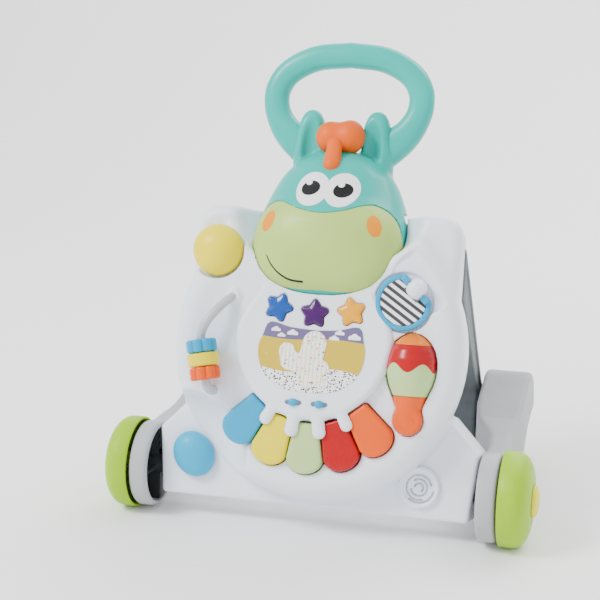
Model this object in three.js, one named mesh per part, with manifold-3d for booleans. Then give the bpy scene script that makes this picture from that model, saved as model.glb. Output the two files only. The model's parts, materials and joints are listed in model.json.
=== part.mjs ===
// Baby walker with an activity panel: a leaning hollow panel with keys, buttons, beads, a flap and a
// maraca, a horse's head with a loop handle, two side arms with front and rear wheels, and rear legs.
// Millimetres. The walker stands on z = 0, x = 0 is its plane of symmetry and the panel faces -Y.
import * as THREE from 'three';
import { mergeVertices } from 'three/addons/utils/BufferGeometryUtils.js';
import Module from 'manifold-3d';

const wasm = await Module();
wasm.setup();

// ---- Driving dimensions -------------------------------------------------------------------------
const GAP = 0.3; // clearance between touching pieces
const WALL = 3; // moulded wall thickness
const REACH = 400; // past the end of any piece
const DEPTH_CENTRE = 98.71; // from the front axle back to the middle of the whole walker

const LEAN = THREE.MathUtils.degToRad(15); // panel leans back from the vertical
const FOOT_EDGE = { y: -21, z: 23.5 }; // lower front edge of the panel

// Panel frame: u across, v up the panel, h out of it; h = 0 is the foot plate's front face.
const BACK_H = -40; // rear rim of the front shell
const SHOULDER_H = 16;
const DISC_H = 34;
const DISC = { v: 160, r: 147, flat: 118 };
const BODY = { halfWidth: 136, top: 297, corner: 22 };
const FOOT = { bottom: 159, middle: 165, middleV: 66, neck: 137, neckV: 95 };
const REAR_COVER = 3.3;

const KEYS = { v: 163, pitch: 19.2, inner: 76, outer: 125.5, low: 28, high: 42, stemAt: 112 };
const KEY_NAMES = ['key_cyan', 'key_yellow', 'key_pale_green', 'key_red', 'key_orange'];
const KEY_COLOURS = [0x00c8eb, 0xf5e419, 0xd0e8be, 0xcd0019, 0xfc731c];
const WELL_H = 22;

const BIB = { v: 170, r: 80, neck: 56, top: 224, tilt: THREE.MathUtils.degToRad(-6), pivotV: 90, pivotH: 48 };
const TOOTH_ANGLES = [-28.8, -9.6, 9.6, 28.8];
const STARS = [
  { name: 'star_blue', u: -36.5, w: 108, turn: 20, colour: 0x006ebe },
  { name: 'star_purple', u: 0, w: 104, turn: 0, colour: 0x551473 },
  { name: 'star_yellow', u: 36.5, w: 108, turn: -15, colour: 0xf5b90a },
];
const STAR_R = 13;
const SWITCH = { u: 13, w: 16.5, slot: 16, width: 4.6 };
const KEY_WELL = { inner: KEYS.inner - 8, outer: KEYS.outer + 1.8, half: 2.5 * KEYS.pitch + 1.2 };

const SPINNER = { u: -106, v: 250, r: 26, h: 24, seat: 23 };
const BUTTON = { u: -125, v: 43, r: 22.5, rise: 17 };
const SPEAKER = { u: 108, v: 32, r: 20, hole: 16.5 };

const BEAD = { r: 15.5, thick: 13, pitch: 13.5, bore: 5.3 };
const BEAD_RAIL = { u: -104.5, v: 141, h: 55, lean: THREE.MathUtils.degToRad(12), tube: 4.5 };
const BEAD_LOOKS = [
  { name: 'bead_orange', lobes: 6, colour: 0xff7a1e },
  { name: 'bead_yellow', lobes: 0, colour: 0xffe600 },
  { name: 'bead_blue', lobes: 6, colour: 0x00b4e6 },
];

const FLAP = { u: 86, v: 210, r: 27, hinge: 17, turn: THREE.MathUtils.degToRad(47), low: 33.2, high: 37.2 };
const FLAP_WINDOW_R = FLAP.r - 4.5;
const FLAP_SEAT_H = 30;
const HINGE_H = 40;
const PIN_R = 1.6;
const PIN_HOLE_R = PIN_R + GAP;
const KNUCKLE = { r: 6.6, half: 8 };

const MARACA = { u: 98, h: 30, top: 181, bottom: 112, r: 23.5, endU: 99.5, endV: 98, endR: 12.5 };
const MARACA_NECK = 9.5; // half the width of the fixed handle's neck

const HEAD = { v: 290, h: -22, a: 70, b: 70, c: 52, seat: 297.3, split: -44 };
const MUZZLE = { v: 258, h: 24, a: 78, b: 50, c: 28 };
const EAR = { u: 35, v: 368, h: -30, a: 14, b: 33, c: 12 };
const HANDLE = { h: -37, tube: 13 };

const WHEEL = { r: 46.5, inner: 187.4, outer: 217, bore: 4.3 };
const REAR_WHEEL = { y: 203, r: 40, inner: 151, outer: 173 };
const AXLE_R = 4;
const AXLE_IN = 149; // inner end of the front stub axles
const REAR_AXLE_R = 3.3;
const ARM = { inner: 166, outer: 187, lobe: 43.7, rearInner: 137, rearR: 50, rearZ: 54 };
const LEG = { inner: 104, outer: 136.4, slope: THREE.MathUtils.degToRad(50.4) };
const CROSSBAR = { y: 145, z: 178 };
const HUB = { y: 210, z: 66, r: 26 };

// ---- Solids: joining and cutting ----------------------------------------------------------------
// Turns a closed geometry into a solid, with its faces pointing out.
function solid(geometry) {
  const bare = geometry.clone();
  bare.deleteAttribute('normal');
  bare.deleteAttribute('uv');
  const merged = mergeVertices(bare, 1e-4);
  const position = merged.attributes.position;
  const corner = [new THREE.Vector3(), new THREE.Vector3(), new THREE.Vector3()];
  const triangles = [];
  let volume = 0;
  for (let i = 0; i < merged.index.count; i += 3) {
    const [a, b, c] = [0, 1, 2].map((k) => merged.index.getX(i + k));
    if (a === b || b === c || c === a) continue;
    [a, b, c].forEach((index, k) => corner[k].fromBufferAttribute(position, index));
    volume += corner[0].dot(corner[1].clone().cross(corner[2]));
    triangles.push([a, b, c]);
  }
  if (volume < 0) triangles.forEach((triangle) => triangle.reverse());
  return new wasm.Manifold(new wasm.Mesh({
    numProp: 3,
    vertProperties: new Float32Array(position.array),
    triVerts: new Uint32Array(triangles.flat()),
  }));
}

function joined(...solids) {
  return solids.reduce((sum, next) => sum.add(next));
}

function part(name, shape, colour, roughness = 0.35, metalness = 0) {
  const mesh = shape.getMesh();
  const geometry = new THREE.BufferGeometry();
  geometry.setAttribute('position', new THREE.BufferAttribute(mesh.vertProperties, 3));
  geometry.setIndex(new THREE.BufferAttribute(mesh.triVerts, 1));
  geometry.computeVertexNormals();
  const material = new THREE.MeshStandardMaterial({ color: colour, roughness, metalness, flatShading: true });
  const piece = new THREE.Mesh(geometry, material);
  piece.name = name;
  return piece;
}

// ---- Outlines -----------------------------------------------------------------------------------
const degrees = THREE.MathUtils.degToRad;

// Points of an arc from one angle to another, in degrees, both ends included.
function arc(x, y, r, from, to, count) {
  return Array.from({ length: count + 1 }, (_, i) => {
    const angle = degrees(from + ((to - from) * i) / count);
    return new THREE.Vector2(x + r * Math.cos(angle), y + r * Math.sin(angle));
  });
}

function circle(x, y, r, count) {
  return new THREE.Shape(arc(x, y, r, 0, 360, count).slice(0, -1));
}

function rectangle(u0, u1, v0, v1) {
  return new THREE.Shape([[u0, v0], [u1, v0], [u1, v1], [u0, v1]].map((p) => new THREE.Vector2(...p)));
}

// The panel's body: the big disc with a square-shouldered top.
function bodyOutline(inset = 0) {
  const r = DISC.r - inset;
  const half = BODY.halfWidth - inset;
  const top = BODY.top - inset;
  const corner = BODY.corner - inset;
  const meet = THREE.MathUtils.radToDeg(Math.acos(half / r));
  return new THREE.Shape([
    ...arc(0, DISC.v, r, 180 - meet, 360 + meet, 26),
    ...arc(half - corner, top - corner, corner, 0, 90, 4),
    ...arc(corner - half, top - corner, corner, 90, 180, 4),
  ]);
}

function footOutline(inset = 0) {
  const right = [
    [FOOT.bottom - inset, inset],
    [FOOT.middle - inset, FOOT.middleV],
    [FOOT.neck - inset, FOOT.neckV],
  ];
  const left = right.map(([u, v]) => [-u, v]).reverse();
  return new THREE.Shape([...right, ...left].map((p) => new THREE.Vector2(...p)));
}

// A ring segment about the keys' centre; angles count from straight down.
function keySector(inner, outer, half) {
  return new THREE.Shape([
    ...arc(0, KEYS.v, outer, -90 - half, -90 + half, 16),
    ...arc(0, KEYS.v, inner, -90 + half, -90 - half, 10),
  ]);
}

function bibOutline(inset = 0) {
  const r = BIB.r - inset;
  const neck = BIB.neck - inset;
  const right = [[r * 0.885, 76], [neck, 98], [neck, BIB.top - BIB.pivotV - inset]];
  return new THREE.Shape([
    ...arc(0, BIB.v - BIB.pivotV, r, 208, 332, 18),
    ...right.map(([u, w]) => new THREE.Vector2(u, w)),
    ...right.reverse().map(([u, w]) => new THREE.Vector2(-u, w)),
  ]);
}

function starOutline(grow = 0) {
  return new THREE.Shape(Array.from({ length: 10 }, (_, i) => {
    const r = (i % 2 ? STAR_R * 0.56 : STAR_R) + grow;
    return new THREE.Vector2(0, r).rotateAround(new THREE.Vector2(), degrees(36 * i));
  }));
}

// ---- Basic solids -------------------------------------------------------------------------------
// A plate between two heights; round bends both of its face edges in.
function slab(shape, low, high, round = 0, steps = 3) {
  const geometry = new THREE.ExtrudeGeometry(shape, {
    depth: high - low - 2 * round,
    bevelEnabled: round > 0,
    bevelThickness: round,
    bevelSize: round,
    bevelOffset: -round,
    bevelSegments: steps,
    curveSegments: 6,
  });
  geometry.translate(0, 0, low + round);
  return geometry;
}

function box(u, v, h) {
  const geometry = new THREE.BoxGeometry(u[1] - u[0], v[1] - v[0], h[1] - h[0]);
  geometry.translate((u[0] + u[1]) / 2, (v[0] + v[1]) / 2, (h[0] + h[1]) / 2);
  return solid(geometry);
}

// A plate with only its front edge rounded.
function cushion(shape, low, high, round, steps) {
  return solid(slab(shape, low - round, high, round, steps))
    .subtract(box([-REACH, REACH], [-REACH, REACH], [low - REACH, low]));
}

// A turned body about the h axis; each point is [radius, height].
function turned(points, segments = 32) {
  const geometry = new THREE.LatheGeometry(points.map((p) => new THREE.Vector2(...p)), segments);
  geometry.rotateX(Math.PI / 2);
  return geometry;
}

function rod(r, low, high, segments = 16) {
  return turned([[0, low], [r, low], [r, high], [0, high]], segments);
}

function ellipsoid(e, grow = 0, across = 22, around = 12) {
  const geometry = new THREE.SphereGeometry(1, across, around);
  geometry.scale(e.a + grow, e.b + grow, e.c + grow);
  geometry.translate(e.u ?? 0, e.v, e.h);
  return solid(geometry);
}

// Lays a body that was turned about the h axis along +X.
function alongX(geometry) {
  return geometry.rotateY(Math.PI / 2);
}

// Extrudes a side-view outline, drawn as (y, z), from one x to another.
function sideways(shape, x0, x1, round = 0) {
  const geometry = slab(shape, x0, x1, round, 1);
  const axes = [new THREE.Vector3(0, 1, 0), new THREE.Vector3(0, 0, 1), new THREE.Vector3(1, 0, 0)];
  return solid(geometry.applyMatrix4(new THREE.Matrix4().makeBasis(...axes)));
}

function mirrored(shape) {
  return shape.mirror([1, 0, 0]);
}

// ---- Panel shells -------------------------------------------------------------------------------
// The proud round of the panel, its edge falling away in a quarter ellipse.
function disc(inset = 0, low = BACK_H, steps = 4) {
  const top = DISC_H - inset;
  const reach = DISC.r - inset - DISC.flat;
  const edge = Array.from({ length: steps + 1 }, (_, i) => {
    const angle = (Math.PI / 2) * (i / steps);
    return [DISC.flat + reach * Math.cos(angle), top * Math.sin(angle)];
  });
  const geometry = turned([[0, low], [DISC.r - inset, low], ...edge, [0, top]], 36);
  return solid(geometry.translate(0, DISC.v, 0));
}

// A body drawn at the panel's origin, moved to where a toy sits.
function onFace({ u, v }, geometry) {
  return solid(geometry.translate(u, v, 0));
}

// The panel's whole outside, grown or shrunk by an inset.
function panelBody(inset = 0, low = BACK_H, steps = 4) {
  return joined(
    disc(inset, low, steps).intersect(solid(slab(bodyOutline(inset), low - 1, DISC_H + 1))),
    cushion(bodyOutline(inset), low, SHOULDER_H - inset, 13, Math.ceil(steps / 2)),
    cushion(footOutline(inset), low, -inset, 4, 1),
  );
}

function maracaProfile(grow = 0) {
  const { top, bottom, r } = MARACA;
  const length = top - bottom;
  const shape = [[0.36, 0], [0.62, 0.12], [0.88, 0.28], [1, 0.45], [0.97, 0.62], [0.78, 0.8], [0.45, 0.94]];
  const side = shape.map(([k, t]) => [r * k + grow, bottom + length * t]);
  return [[0, bottom - grow], [side[0][0], bottom - grow], ...side, [0, top + grow]];
}

function maracaTurned(grow = 0) {
  const geometry = new THREE.LatheGeometry(maracaProfile(grow).map((p) => new THREE.Vector2(...p)), 18);
  return solid(geometry.translate(MARACA.u, 0, MARACA.h));
}

function alongV(r, low, high, u, h, segments = 16) {
  const geometry = new THREE.CylinderGeometry(r, r, high - low, segments);
  return solid(geometry.translate(u, (low + high) / 2, h));
}

// Where a point of the walker's side view lies on the panel.
function onPanel(y, z) {
  const back = y - FOOT_EDGE.y;
  const up = z - FOOT_EDGE.z;
  return {
    v: back * Math.sin(LEAN) + up * Math.cos(LEAN),
    h: up * Math.sin(LEAN) - back * Math.cos(LEAN),
  };
}

// A rod on the front axle's line, on both sides of the panel.
function onFrontAxle(r, low, high) {
  const { v, h } = onPanel(0, WHEEL.r);
  const stub = solid(alongX(rod(r, low, high))).translate([0, v, h]);
  return stub.add(mirrored(stub));
}

function frontShell() {
  const { inner, outer, half: wellHalf } = KEY_WELL;
  const proud = DISC_H + 9;
  const well = solid(slab(keySector(inner, outer, wellHalf), WELL_H, proud));
  const wellWall = solid(slab(keySector(inner - WALL, outer + WALL, wellHalf + 2), WELL_H - WALL, proud));
  const seatBacks = joined(
    maracaTurned(1.2 + 2.5),
    onFace(SPINNER, rod(SPINNER.r + 5.5, SPINNER.seat - WALL, DISC_H, 26)),
    onFace(FLAP, rod(FLAP.r + 5, FLAP_SEAT_H - WALL, DISC_H, 32)),
  ).intersect(panelBody());
  const cavity = panelBody(WALL, BACK_H - 10, 2).subtract(wellWall);
  const cuts = [
    well,
    maracaTurned(1.2),
    alongV(2.4, MARACA.bottom - 9, MARACA.top + 9, MARACA.u, MARACA.h),
    ...STARS.map(({ u, w }) => onBib(rod(STAR_R + 1.5, -20, 5).translate(u, w, 0))),
    onFrontAxle(AXLE_R + GAP, AXLE_IN - 1, 180),
    onFace(SPEAKER, rod(SPEAKER.hole, -10, 6, 24)),
    onFace(BUTTON, rod(6.4, -10, 6)),
    onFace(SPINNER, rod(5.4, 0, proud)),
    onFace(SPINNER, rod(SPINNER.r + 2.5, SPINNER.seat, proud, 26)),
    onFace(FLAP, rod(FLAP.r + 2, FLAP_SEAT_H, proud, 32)),
  ];
  for (const post of railPosts()) {
    cuts.push(solid(rod(BEAD_RAIL.tube + GAP, 20, 50, 16).translate(post.x, post.y, 0)));
  }
  for (let i = -2; i <= 2; i += 1) {
    const stem = rod(6, WELL_H - 9, WELL_H + 2, 12).translate(0, -KEYS.stemAt, 0);
    cuts.push(solid(stem.rotateZ(degrees(KEYS.pitch * i)).translate(0, KEYS.v, 0)));
  }
  const bosses = onFrontAxle(AXLE_R + 4, AXLE_IN - 3, FOOT.bottom);
  const shell = joined(panelBody().subtract(cavity), seatBacks, bosses);
  return cuts.reduce((rest, cut) => rest.subtract(cut), shell);
}

const TRAY = { u: [-40, 40], v: [118, 164], floor: -22, screwV: 159 };

function rearShell() {
  const low = BACK_H - GAP - REAR_COVER;
  const plate = joined(
    solid(slab(bodyOutline(), low, BACK_H - GAP)),
    solid(slab(footOutline(), low, BACK_H - GAP)),
  );
  const { u, v, floor } = TRAY;
  const wide = (range, by) => [range[0] - by, range[1] + by];
  return plate
    .add(box(wide(u, 2), wide(v, 2), [BACK_H - 1, floor + 2]))
    .subtract(box(u, v, [low - 1, floor]))
    .add(solid(rod(4.5, BACK_H + 1, floor + 1).translate(0, TRAY.screwV, 0)))
    .subtract(solid(rod(1.9, low - 1, floor - 2, 12).translate(0, TRAY.screwV, 0)));
}

function batteryDoor() {
  const low = BACK_H - GAP - REAR_COVER;
  const inside = (range) => [range[0] + GAP, range[1] - GAP];
  return box(inside(TRAY.u), inside(TRAY.v), [low, low + 2.4])
    .subtract(solid(rod(3.4, low - 1, low + 4, 16).translate(0, TRAY.screwV, 0)));
}

function batteryScrew() {
  const low = BACK_H - GAP - REAR_COVER;
  const head = { r: 3, low: low + 0.2, high: low + 2.2 };
  const shank = { r: 1.5, high: low + 14 };
  const profile = [
    [0, head.low], [head.r, head.low], [head.r, head.high],
    [shank.r, head.high], [shank.r, shank.high], [0, shank.high],
  ];
  return solid(turned(profile, 16).translate(0, TRAY.screwV, 0));
}

function battery(v) {
  const geometry = new THREE.CylinderGeometry(7.1, 7.1, 50.5, 16);
  return solid(geometry.rotateZ(Math.PI / 2).translate(0, v, TRAY.floor - 8.5));
}

// ---- Keys and the bib ---------------------------------------------------------------------------
// A key about its own centre line, hanging down from the keys' centre at the origin.
function key() {
  const side = Math.tan(degrees(KEYS.pitch / 2));
  const outline = (inset) => {
    const inner = KEYS.inner + inset;
    const outer = KEYS.outer - inset;
    const near = inner * side - 0.7 - inset;
    const far = (outer - 12) * side - 0.7 - inset;
    const shape = new THREE.Shape();
    shape.moveTo(-near, -inner);
    shape.lineTo(-far, 12 - outer);
    shape.quadraticCurveTo(-far - 1, -outer, 0, -outer - 0.01);
    shape.quadraticCurveTo(far + 1, -outer, far, 12 - outer);
    shape.lineTo(near, -inner);
    return shape;
  };
  return cushion(outline(0), KEYS.low, KEYS.high, 2.5, 2)
    .subtract(solid(slab(outline(2.4), KEYS.low - 1, KEYS.high - 2.4)))
    .add(solid(rod(3.6, WELL_H - 6, KEYS.high - 1.5, 12).translate(0, -KEYS.stemAt, 0)));
}

// Puts a body drawn on the bib's own tilted face into the panel frame.
function onBib(geometry) {
  return solid(geometry.rotateX(BIB.tilt).translate(0, BIB.pivotV, BIB.pivotH));
}

function bibPanel() {
  const deep = -24;
  const outside = onBib(slab(bibOutline(), deep, 0, 4.5, 3));
  const inside = onBib(slab(bibOutline(2.6), deep - 6, -2.6, 2, 1));
  const sector = keySector(KEYS.inner - 3, 102, KEY_WELL.half);
  const roofs = TOOTH_ANGLES.map((angle) => {
    const tooth = new THREE.Shape([
      ...arc(0, -96 + 7.6, 7.6, -160, -20, 8),
      new THREE.Vector2(6.8, -72),
      new THREE.Vector2(-6.8, -72),
    ]);
    const geometry = slab(tooth, KEYS.high + 1.2, KEYS.high + 5.2, 1.2, 2);
    return solid(geometry.rotateZ(degrees(angle)).translate(0, KEYS.v, 0));
  });
  const bosses = STARS.map(({ u, w }) => onBib(rod(STAR_R + 3, -10.5, -2, 16).translate(u, w, 0)));
  const pockets = STARS.map(({ u, w, turn }) => {
    const geometry = slab(starOutline(0.6), -8.5, 3).rotateZ(degrees(turn)).translate(u, w, 0);
    return onBib(geometry);
  });
  const slots = [-1, 1].map((side) => {
    const u = side * SWITCH.u;
    const [long, wide] = [SWITCH.slot / 2, SWITCH.width / 2];
    return onBib(slab(rectangle(u - long, u + long, SWITCH.w - wide, SWITCH.w + wide), -6, 3));
  });
  const body = joined(outside.subtract(inside), ...bosses)
    .subtract(solid(slab(sector, 0, KEYS.high + 1.2)))
    .add(joined(...roofs).subtract(inside))
    .subtract(behind(DISC_H + GAP));
  return [...pockets, ...slots].reduce((rest, cut) => rest.subtract(cut), body);
}

function pictureLabel() {
  const shape = new THREE.Shape();
  shape.moveTo(-44, 93);
  shape.quadraticCurveTo(0, 81, 44, 93);
  shape.bezierCurveTo(55, 78, 58, 52, 44, 40);
  shape.quadraticCurveTo(24, 27, 0, 27);
  shape.quadraticCurveTo(-24, 27, -44, 40);
  shape.bezierCurveTo(-58, 52, -55, 78, -44, 93);
  return solid(slab(shape, GAP, GAP + 0.7));
}

function star() {
  return cushion(starOutline(), -5.5, 4, 1.8, 2);
}

function slideSwitch() {
  return joined(
    cushion(circle(0, 0, 4, 16), GAP, 4, 1.6, 2),
    box([-2, 2], [0.5 - SWITCH.width / 2, SWITCH.width / 2 - 0.5], [-4.5, 1]),
  );
}

// ---- Toys on the panel --------------------------------------------------------------------------
function spinner() {
  const { r } = SPINNER;
  const dome = arc(0, 0, 1, 0, 90, 6).map((p) => [p.x * r, 3 + p.y * 21]);
  const profile = [[0, -16], [4.8, -16], [4.8, 0], [r - 2, 0], [r, 1.5], ...dome.slice(0, -1), [0, 24]];
  return solid(turned(profile, 22));
}

function pushButton() {
  const { r, rise } = BUTTON;
  const dome = arc(0, 0, 1, 10, 90, 5).map((p) => [p.x * r, 3 + p.y * (rise - 3)]);
  const profile = [[0, -14], [5.6, -14], [5.6, 3.2], [r - 1.5, 3.2], ...dome.slice(0, -1), [0, rise]];
  return solid(turned(profile, 22));
}

function speakerGrille() {
  const { r } = SPEAKER;
  const plate = solid(turned([[0, GAP], [r, GAP], [r, 2], [r - 1.6, 4], [r - 4, 4], [r - 5, 3], [0, 3]], 24));
  const slots = [5, 9, 13].flatMap((middle) => [0, 120, 240].map((start) => {
    const shape = new THREE.Shape([
      ...arc(0, 0, middle + 0.8, start, start + 95, 4),
      ...arc(0, 0, middle - 0.8, start + 95, start, 4),
    ]);
    return solid(slab(shape, -1, 6));
  }));
  return slots.reduce((rest, slot) => rest.subtract(slot), plate);
}

function speakerDriver() {
  return solid(turned([[0, -24], [9, -24], [9, -14], [17, -5], [17, -4], [0, -4]], 24));
}

// The bead rail: out of the disc, along a straight run that the beads slide on, and back in.
function railDirection() {
  return new THREE.Vector3(-Math.sin(BEAD_RAIL.lean), Math.cos(BEAD_RAIL.lean), 0);
}

function railPoint(along, h = BEAD_RAIL.h) {
  return new THREE.Vector3(BEAD_RAIL.u, BEAD_RAIL.v, h).addScaledVector(railDirection(), along);
}

const RAIL_RUN = { low: -23.5, high: 38 };

function railPosts() {
  const lowPost = railPoint(RAIL_RUN.low - 7, 0).add(new THREE.Vector3(1, 0, 0));
  return [lowPost, new THREE.Vector3(-84, 206, 0)];
}

function beadRail() {
  const [lowPost, highPost] = railPosts();
  const at = (post, h) => new THREE.Vector3(post.x, post.y, h);
  const low = railPoint(RAIL_RUN.low);
  const high = railPoint(RAIL_RUN.high);
  const path = new THREE.CurvePath();
  path.add(new THREE.LineCurve3(at(lowPost, 24), at(lowPost, BEAD_RAIL.h - 7)));
  path.add(new THREE.QuadraticBezierCurve3(at(lowPost, BEAD_RAIL.h - 7), at(lowPost, BEAD_RAIL.h), low));
  path.add(new THREE.LineCurve3(low, high));
  const bend = high.clone().addScaledVector(railDirection(), 16);
  path.add(new THREE.CubicBezierCurve3(high, bend, at(highPost, BEAD_RAIL.h - 2), at(highPost, 36)));
  path.add(new THREE.LineCurve3(at(highPost, 36), at(highPost, 24)));
  const section = circle(0, 0, BEAD_RAIL.tube, 8);
  const geometry = new THREE.ExtrudeGeometry(section, { steps: 30, bevelEnabled: false, extrudePath: path });
  return solid(geometry);
}

// A bead about its bore, which runs along v.
function bead(lobes) {
  const count = lobes ? 24 : 20;
  const outline = Array.from({ length: count }, (_, i) => {
    const angle = (2 * Math.PI * i) / count;
    const r = lobes ? BEAD.r - 1.6 + 1.6 * Math.cos(lobes * angle) : BEAD.r;
    return new THREE.Vector2(r * Math.cos(angle), r * Math.sin(angle));
  });
  const half = BEAD.thick / 2;
  const body = slab(new THREE.Shape(outline), -half, half, 2, 1);
  const bore = rod(BEAD.bore, -half - 1, half + 1, 12);
  return solid(body).subtract(solid(bore)).rotate([-90, 0, 0]);
}

// Flap pieces are drawn about the flap's centre, with the hinge line square to +x at FLAP.hinge.
function flapOutline(r) {
  const edge = FLAP.hinge + 3;
  const half = THREE.MathUtils.radToDeg(Math.acos(edge / r));
  return arc(0, 0, r, half, 360 - half, 26);
}

function flapRing() {
  const height = FLAP.high - FLAP.low;
  const plate = solid(slab(new THREE.Shape(flapOutline(FLAP.r)), FLAP.low, FLAP.high, 1, 1));
  const window = solid(slab(circle(0, 0, FLAP_WINDOW_R, 24), FLAP.low - 1, FLAP.high + 1));
  const earR = 2.9;
  const ears = [[9, 17.5], [-17.5, -9]].map(([from, to]) => joined(
    solid(alongY(earR, from, to)),
    box([FLAP.hinge - earR, FLAP.hinge + earR], [from, to], [FLAP.low + 1, HINGE_H]),
  ));
  const notch = box([FLAP.hinge - KNUCKLE.r - 1.6, 40], [-9, 9], [FLAP.low - height, HINGE_H + 9]);
  return joined(plate, ...ears)
    .subtract(window)
    .subtract(notch)
    .subtract(solid(alongY(PIN_HOLE_R, -30, 30)));
}

// A rod along the flap's hinge line.
function alongY(r, low, high, segments = 16) {
  return new THREE.CylinderGeometry(r, r, high - low, segments)
    .translate(FLAP.hinge, (low + high) / 2, HINGE_H);
}

function flapDisc() {
  const notch = box([FLAP.hinge - KNUCKLE.r - 1.6, 40], [-9, 9], [0, 60]);
  return solid(slab(circle(0, 0, FLAP_WINDOW_R - GAP, 24), FLAP.low + 0.8, FLAP.high - 0.8))
    .subtract(notch)
    .subtract(box([FLAP.hinge - 3.4, 40], [-30, 30], [0, 60]));
}

function flapKnuckle() {
  const { r, half } = KNUCKLE;
  const barrel = solid(alongY(r, -half, half, 20));
  const foot = box([FLAP.hinge - 4.5, FLAP.hinge + 4.5], [-half, half], [FLAP_SEAT_H + GAP, HINGE_H]);
  return barrel.add(foot).subtract(solid(alongY(PIN_HOLE_R, -30, 30)));
}

function flapPin() {
  return solid(alongY(PIN_R, -17, 17, 12));
}

// Lies on the flap's seat, towards the open side of the flap.
function mirrorDisc() {
  return solid(rod(13, FLAP_SEAT_H + GAP, FLAP_SEAT_H + 1.6, 24).translate(-7, 0, 0));
}

function maracaBody() {
  return maracaTurned().subtract(alongV(2.3, 0, 300, MARACA.u, MARACA.h));
}

const CAP_V = 170;

function maracaBall() {
  return maracaBody().intersect(box([0, 200], [0, CAP_V], [-100, 100]));
}

function maracaCap() {
  return maracaBody().intersect(box([0, 200], [CAP_V + GAP, 300], [-100, 100]));
}

function maracaHandle() {
  const { endU, endV, endR, bottom } = MARACA;
  const [low, high] = [DISC_H + GAP, DISC_H + 9];
  const neck = rectangle(endU - MARACA_NECK, endU + MARACA_NECK, endV, bottom - 1.5);
  return cushion(circle(endU, endV, endR, 24), low, high, 4, 3).add(cushion(neck, low, high, 3, 2));
}

function maracaPin() {
  return alongV(1.9, MARACA.bottom - 8, MARACA.top + 7, MARACA.u, MARACA.h, 12);
}

// ---- Head and handle ----------------------------------------------------------------------------
// Everything in front of, or behind, a height h of the panel frame.
function inFront(limit) {
  return box([-REACH, REACH], [-REACH, 2 * REACH], [limit, REACH]);
}

function behind(limit) {
  return box([-REACH, REACH], [-REACH, 2 * REACH], [-REACH, limit]);
}

function aboveSeat(grow = 0) {
  return box([-REACH, REACH], [HEAD.seat - grow, 2 * REACH], [-REACH, REACH]);
}

function ears(grow = 0) {
  return joined(
    ellipsoid(EAR, grow, 12, 8),
    ellipsoid({ ...EAR, u: -EAR.u }, grow, 12, 8),
  );
}

function headOutside(grow = 0) {
  return ellipsoid(HEAD, grow).intersect(aboveSeat(grow));
}

function headShell() {
  return headOutside()
    .intersect(inFront(HEAD.split))
    .add(ears().intersect(inFront(HEAD.split)))
    .subtract(ellipsoid(HEAD, -WALL));
}

function headBack() {
  return headOutside().intersect(behind(HEAD.split - GAP)).subtract(ellipsoid(HEAD, -WALL));
}

function muzzle() {
  const neighbours = joined(
    headOutside(GAP),
    panelBody(-GAP),
    onBib(slab(bibOutline(-GAP), -24, GAP)),
  );
  return ellipsoid(MUZZLE)
    .subtract(ellipsoid(MUZZLE, -WALL))
    .subtract(neighbours)
    .intersect(inFront(SHOULDER_H + GAP));
}

function forelock() {
  const bun = ellipsoid({ u: 0, v: 374, h: -14, a: 23.5, b: 15.5, c: 16 }, 0, 14, 8);
  const drop = ellipsoid({ u: -1, v: 353, h: 3, a: 9, b: 18, c: 11 }, 0, 12, 8);
  return joined(bun, drop).subtract(headOutside(GAP)).subtract(ears(GAP));
}

function handle() {
  const right = [[39, 342], [50, 362], [66, 382], [76, 412], [64, 441], [36, 456]];
  const left = right.map(([u, v]) => [-u, v]).reverse();
  const points = [...right, [0, 459], ...left].map(([u, v]) => new THREE.Vector3(u, v, HANDLE.h));
  const path = new THREE.CatmullRomCurve3(points, false, 'centripetal');
  const section = circle(0, 0, HANDLE.tube, 10);
  const geometry = new THREE.ExtrudeGeometry(section, { steps: 28, bevelEnabled: false, extrudePath: path });
  return solid(geometry).subtract(headOutside(GAP)).subtract(ears(GAP));
}

// ---- Arms, legs and wheels ----------------------------------------------------------------------
function armSideOutline() {
  const { lobe, rearR, rearZ } = ARM;
  const z = WHEEL.r;
  return new THREE.Shape([
    ...arc(0, z, lobe, 60, 300, 16),
    new THREE.Vector2(60, 20),
    new THREE.Vector2(120, 20),
    ...arc(REAR_WHEEL.y, rearZ, rearR, -130, 130, 18),
    new THREE.Vector2(132, 86),
    new THREE.Vector2(70, 84),
  ]);
}

// Seen from above: narrow beside the front wheel, wide over the rear one.
function armTopOutline() {
  const { inner, outer, rearInner } = ARM;
  const shape = new THREE.Shape();
  shape.moveTo(inner, -60);
  shape.lineTo(outer - 1, -60);
  shape.lineTo(outer - 1, 50);
  shape.quadraticCurveTo(outer - 5, 90, outer, 140);
  shape.lineTo(outer, 280);
  shape.lineTo(rearInner, 280);
  shape.lineTo(rearInner, 150);
  shape.bezierCurveTo(rearInner, 105, inner, 95, inner, 45);
  return shape;
}

function sideArm() {
  const z = WHEEL.r;
  const face = ARM.outer - 4.5; // inside of the arm's outer wall
  const bone = sideways(armSideOutline(), ARM.rearInner - 1, ARM.outer + 1)
    .intersect(solid(slab(armTopOutline(), -10, 130)));
  const frontCuts = joined(
    solid(alongX(turned([[9, 160], [39, 160], [39, face], [9, face], [9, 160]], 20))),
    solid(alongX(rod(AXLE_R + GAP, 150, 200))),
  ).translate([0, 0, z]);
  const rearCuts = joined(
    solid(alongX(rod(REAR_WHEEL.r + 4, REAR_WHEEL.inner - 4, REAR_WHEEL.outer + 4, 24))),
    solid(alongX(rod(REAR_AXLE_R + GAP, 140, ARM.outer - 3))),
  ).translate([0, REAR_WHEEL.y, REAR_WHEEL.r]);
  const hollow = box([157, face], [50, 152], [-10, 80]);
  return bone.subtract(frontCuts).subtract(rearCuts).subtract(hollow);
}

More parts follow.
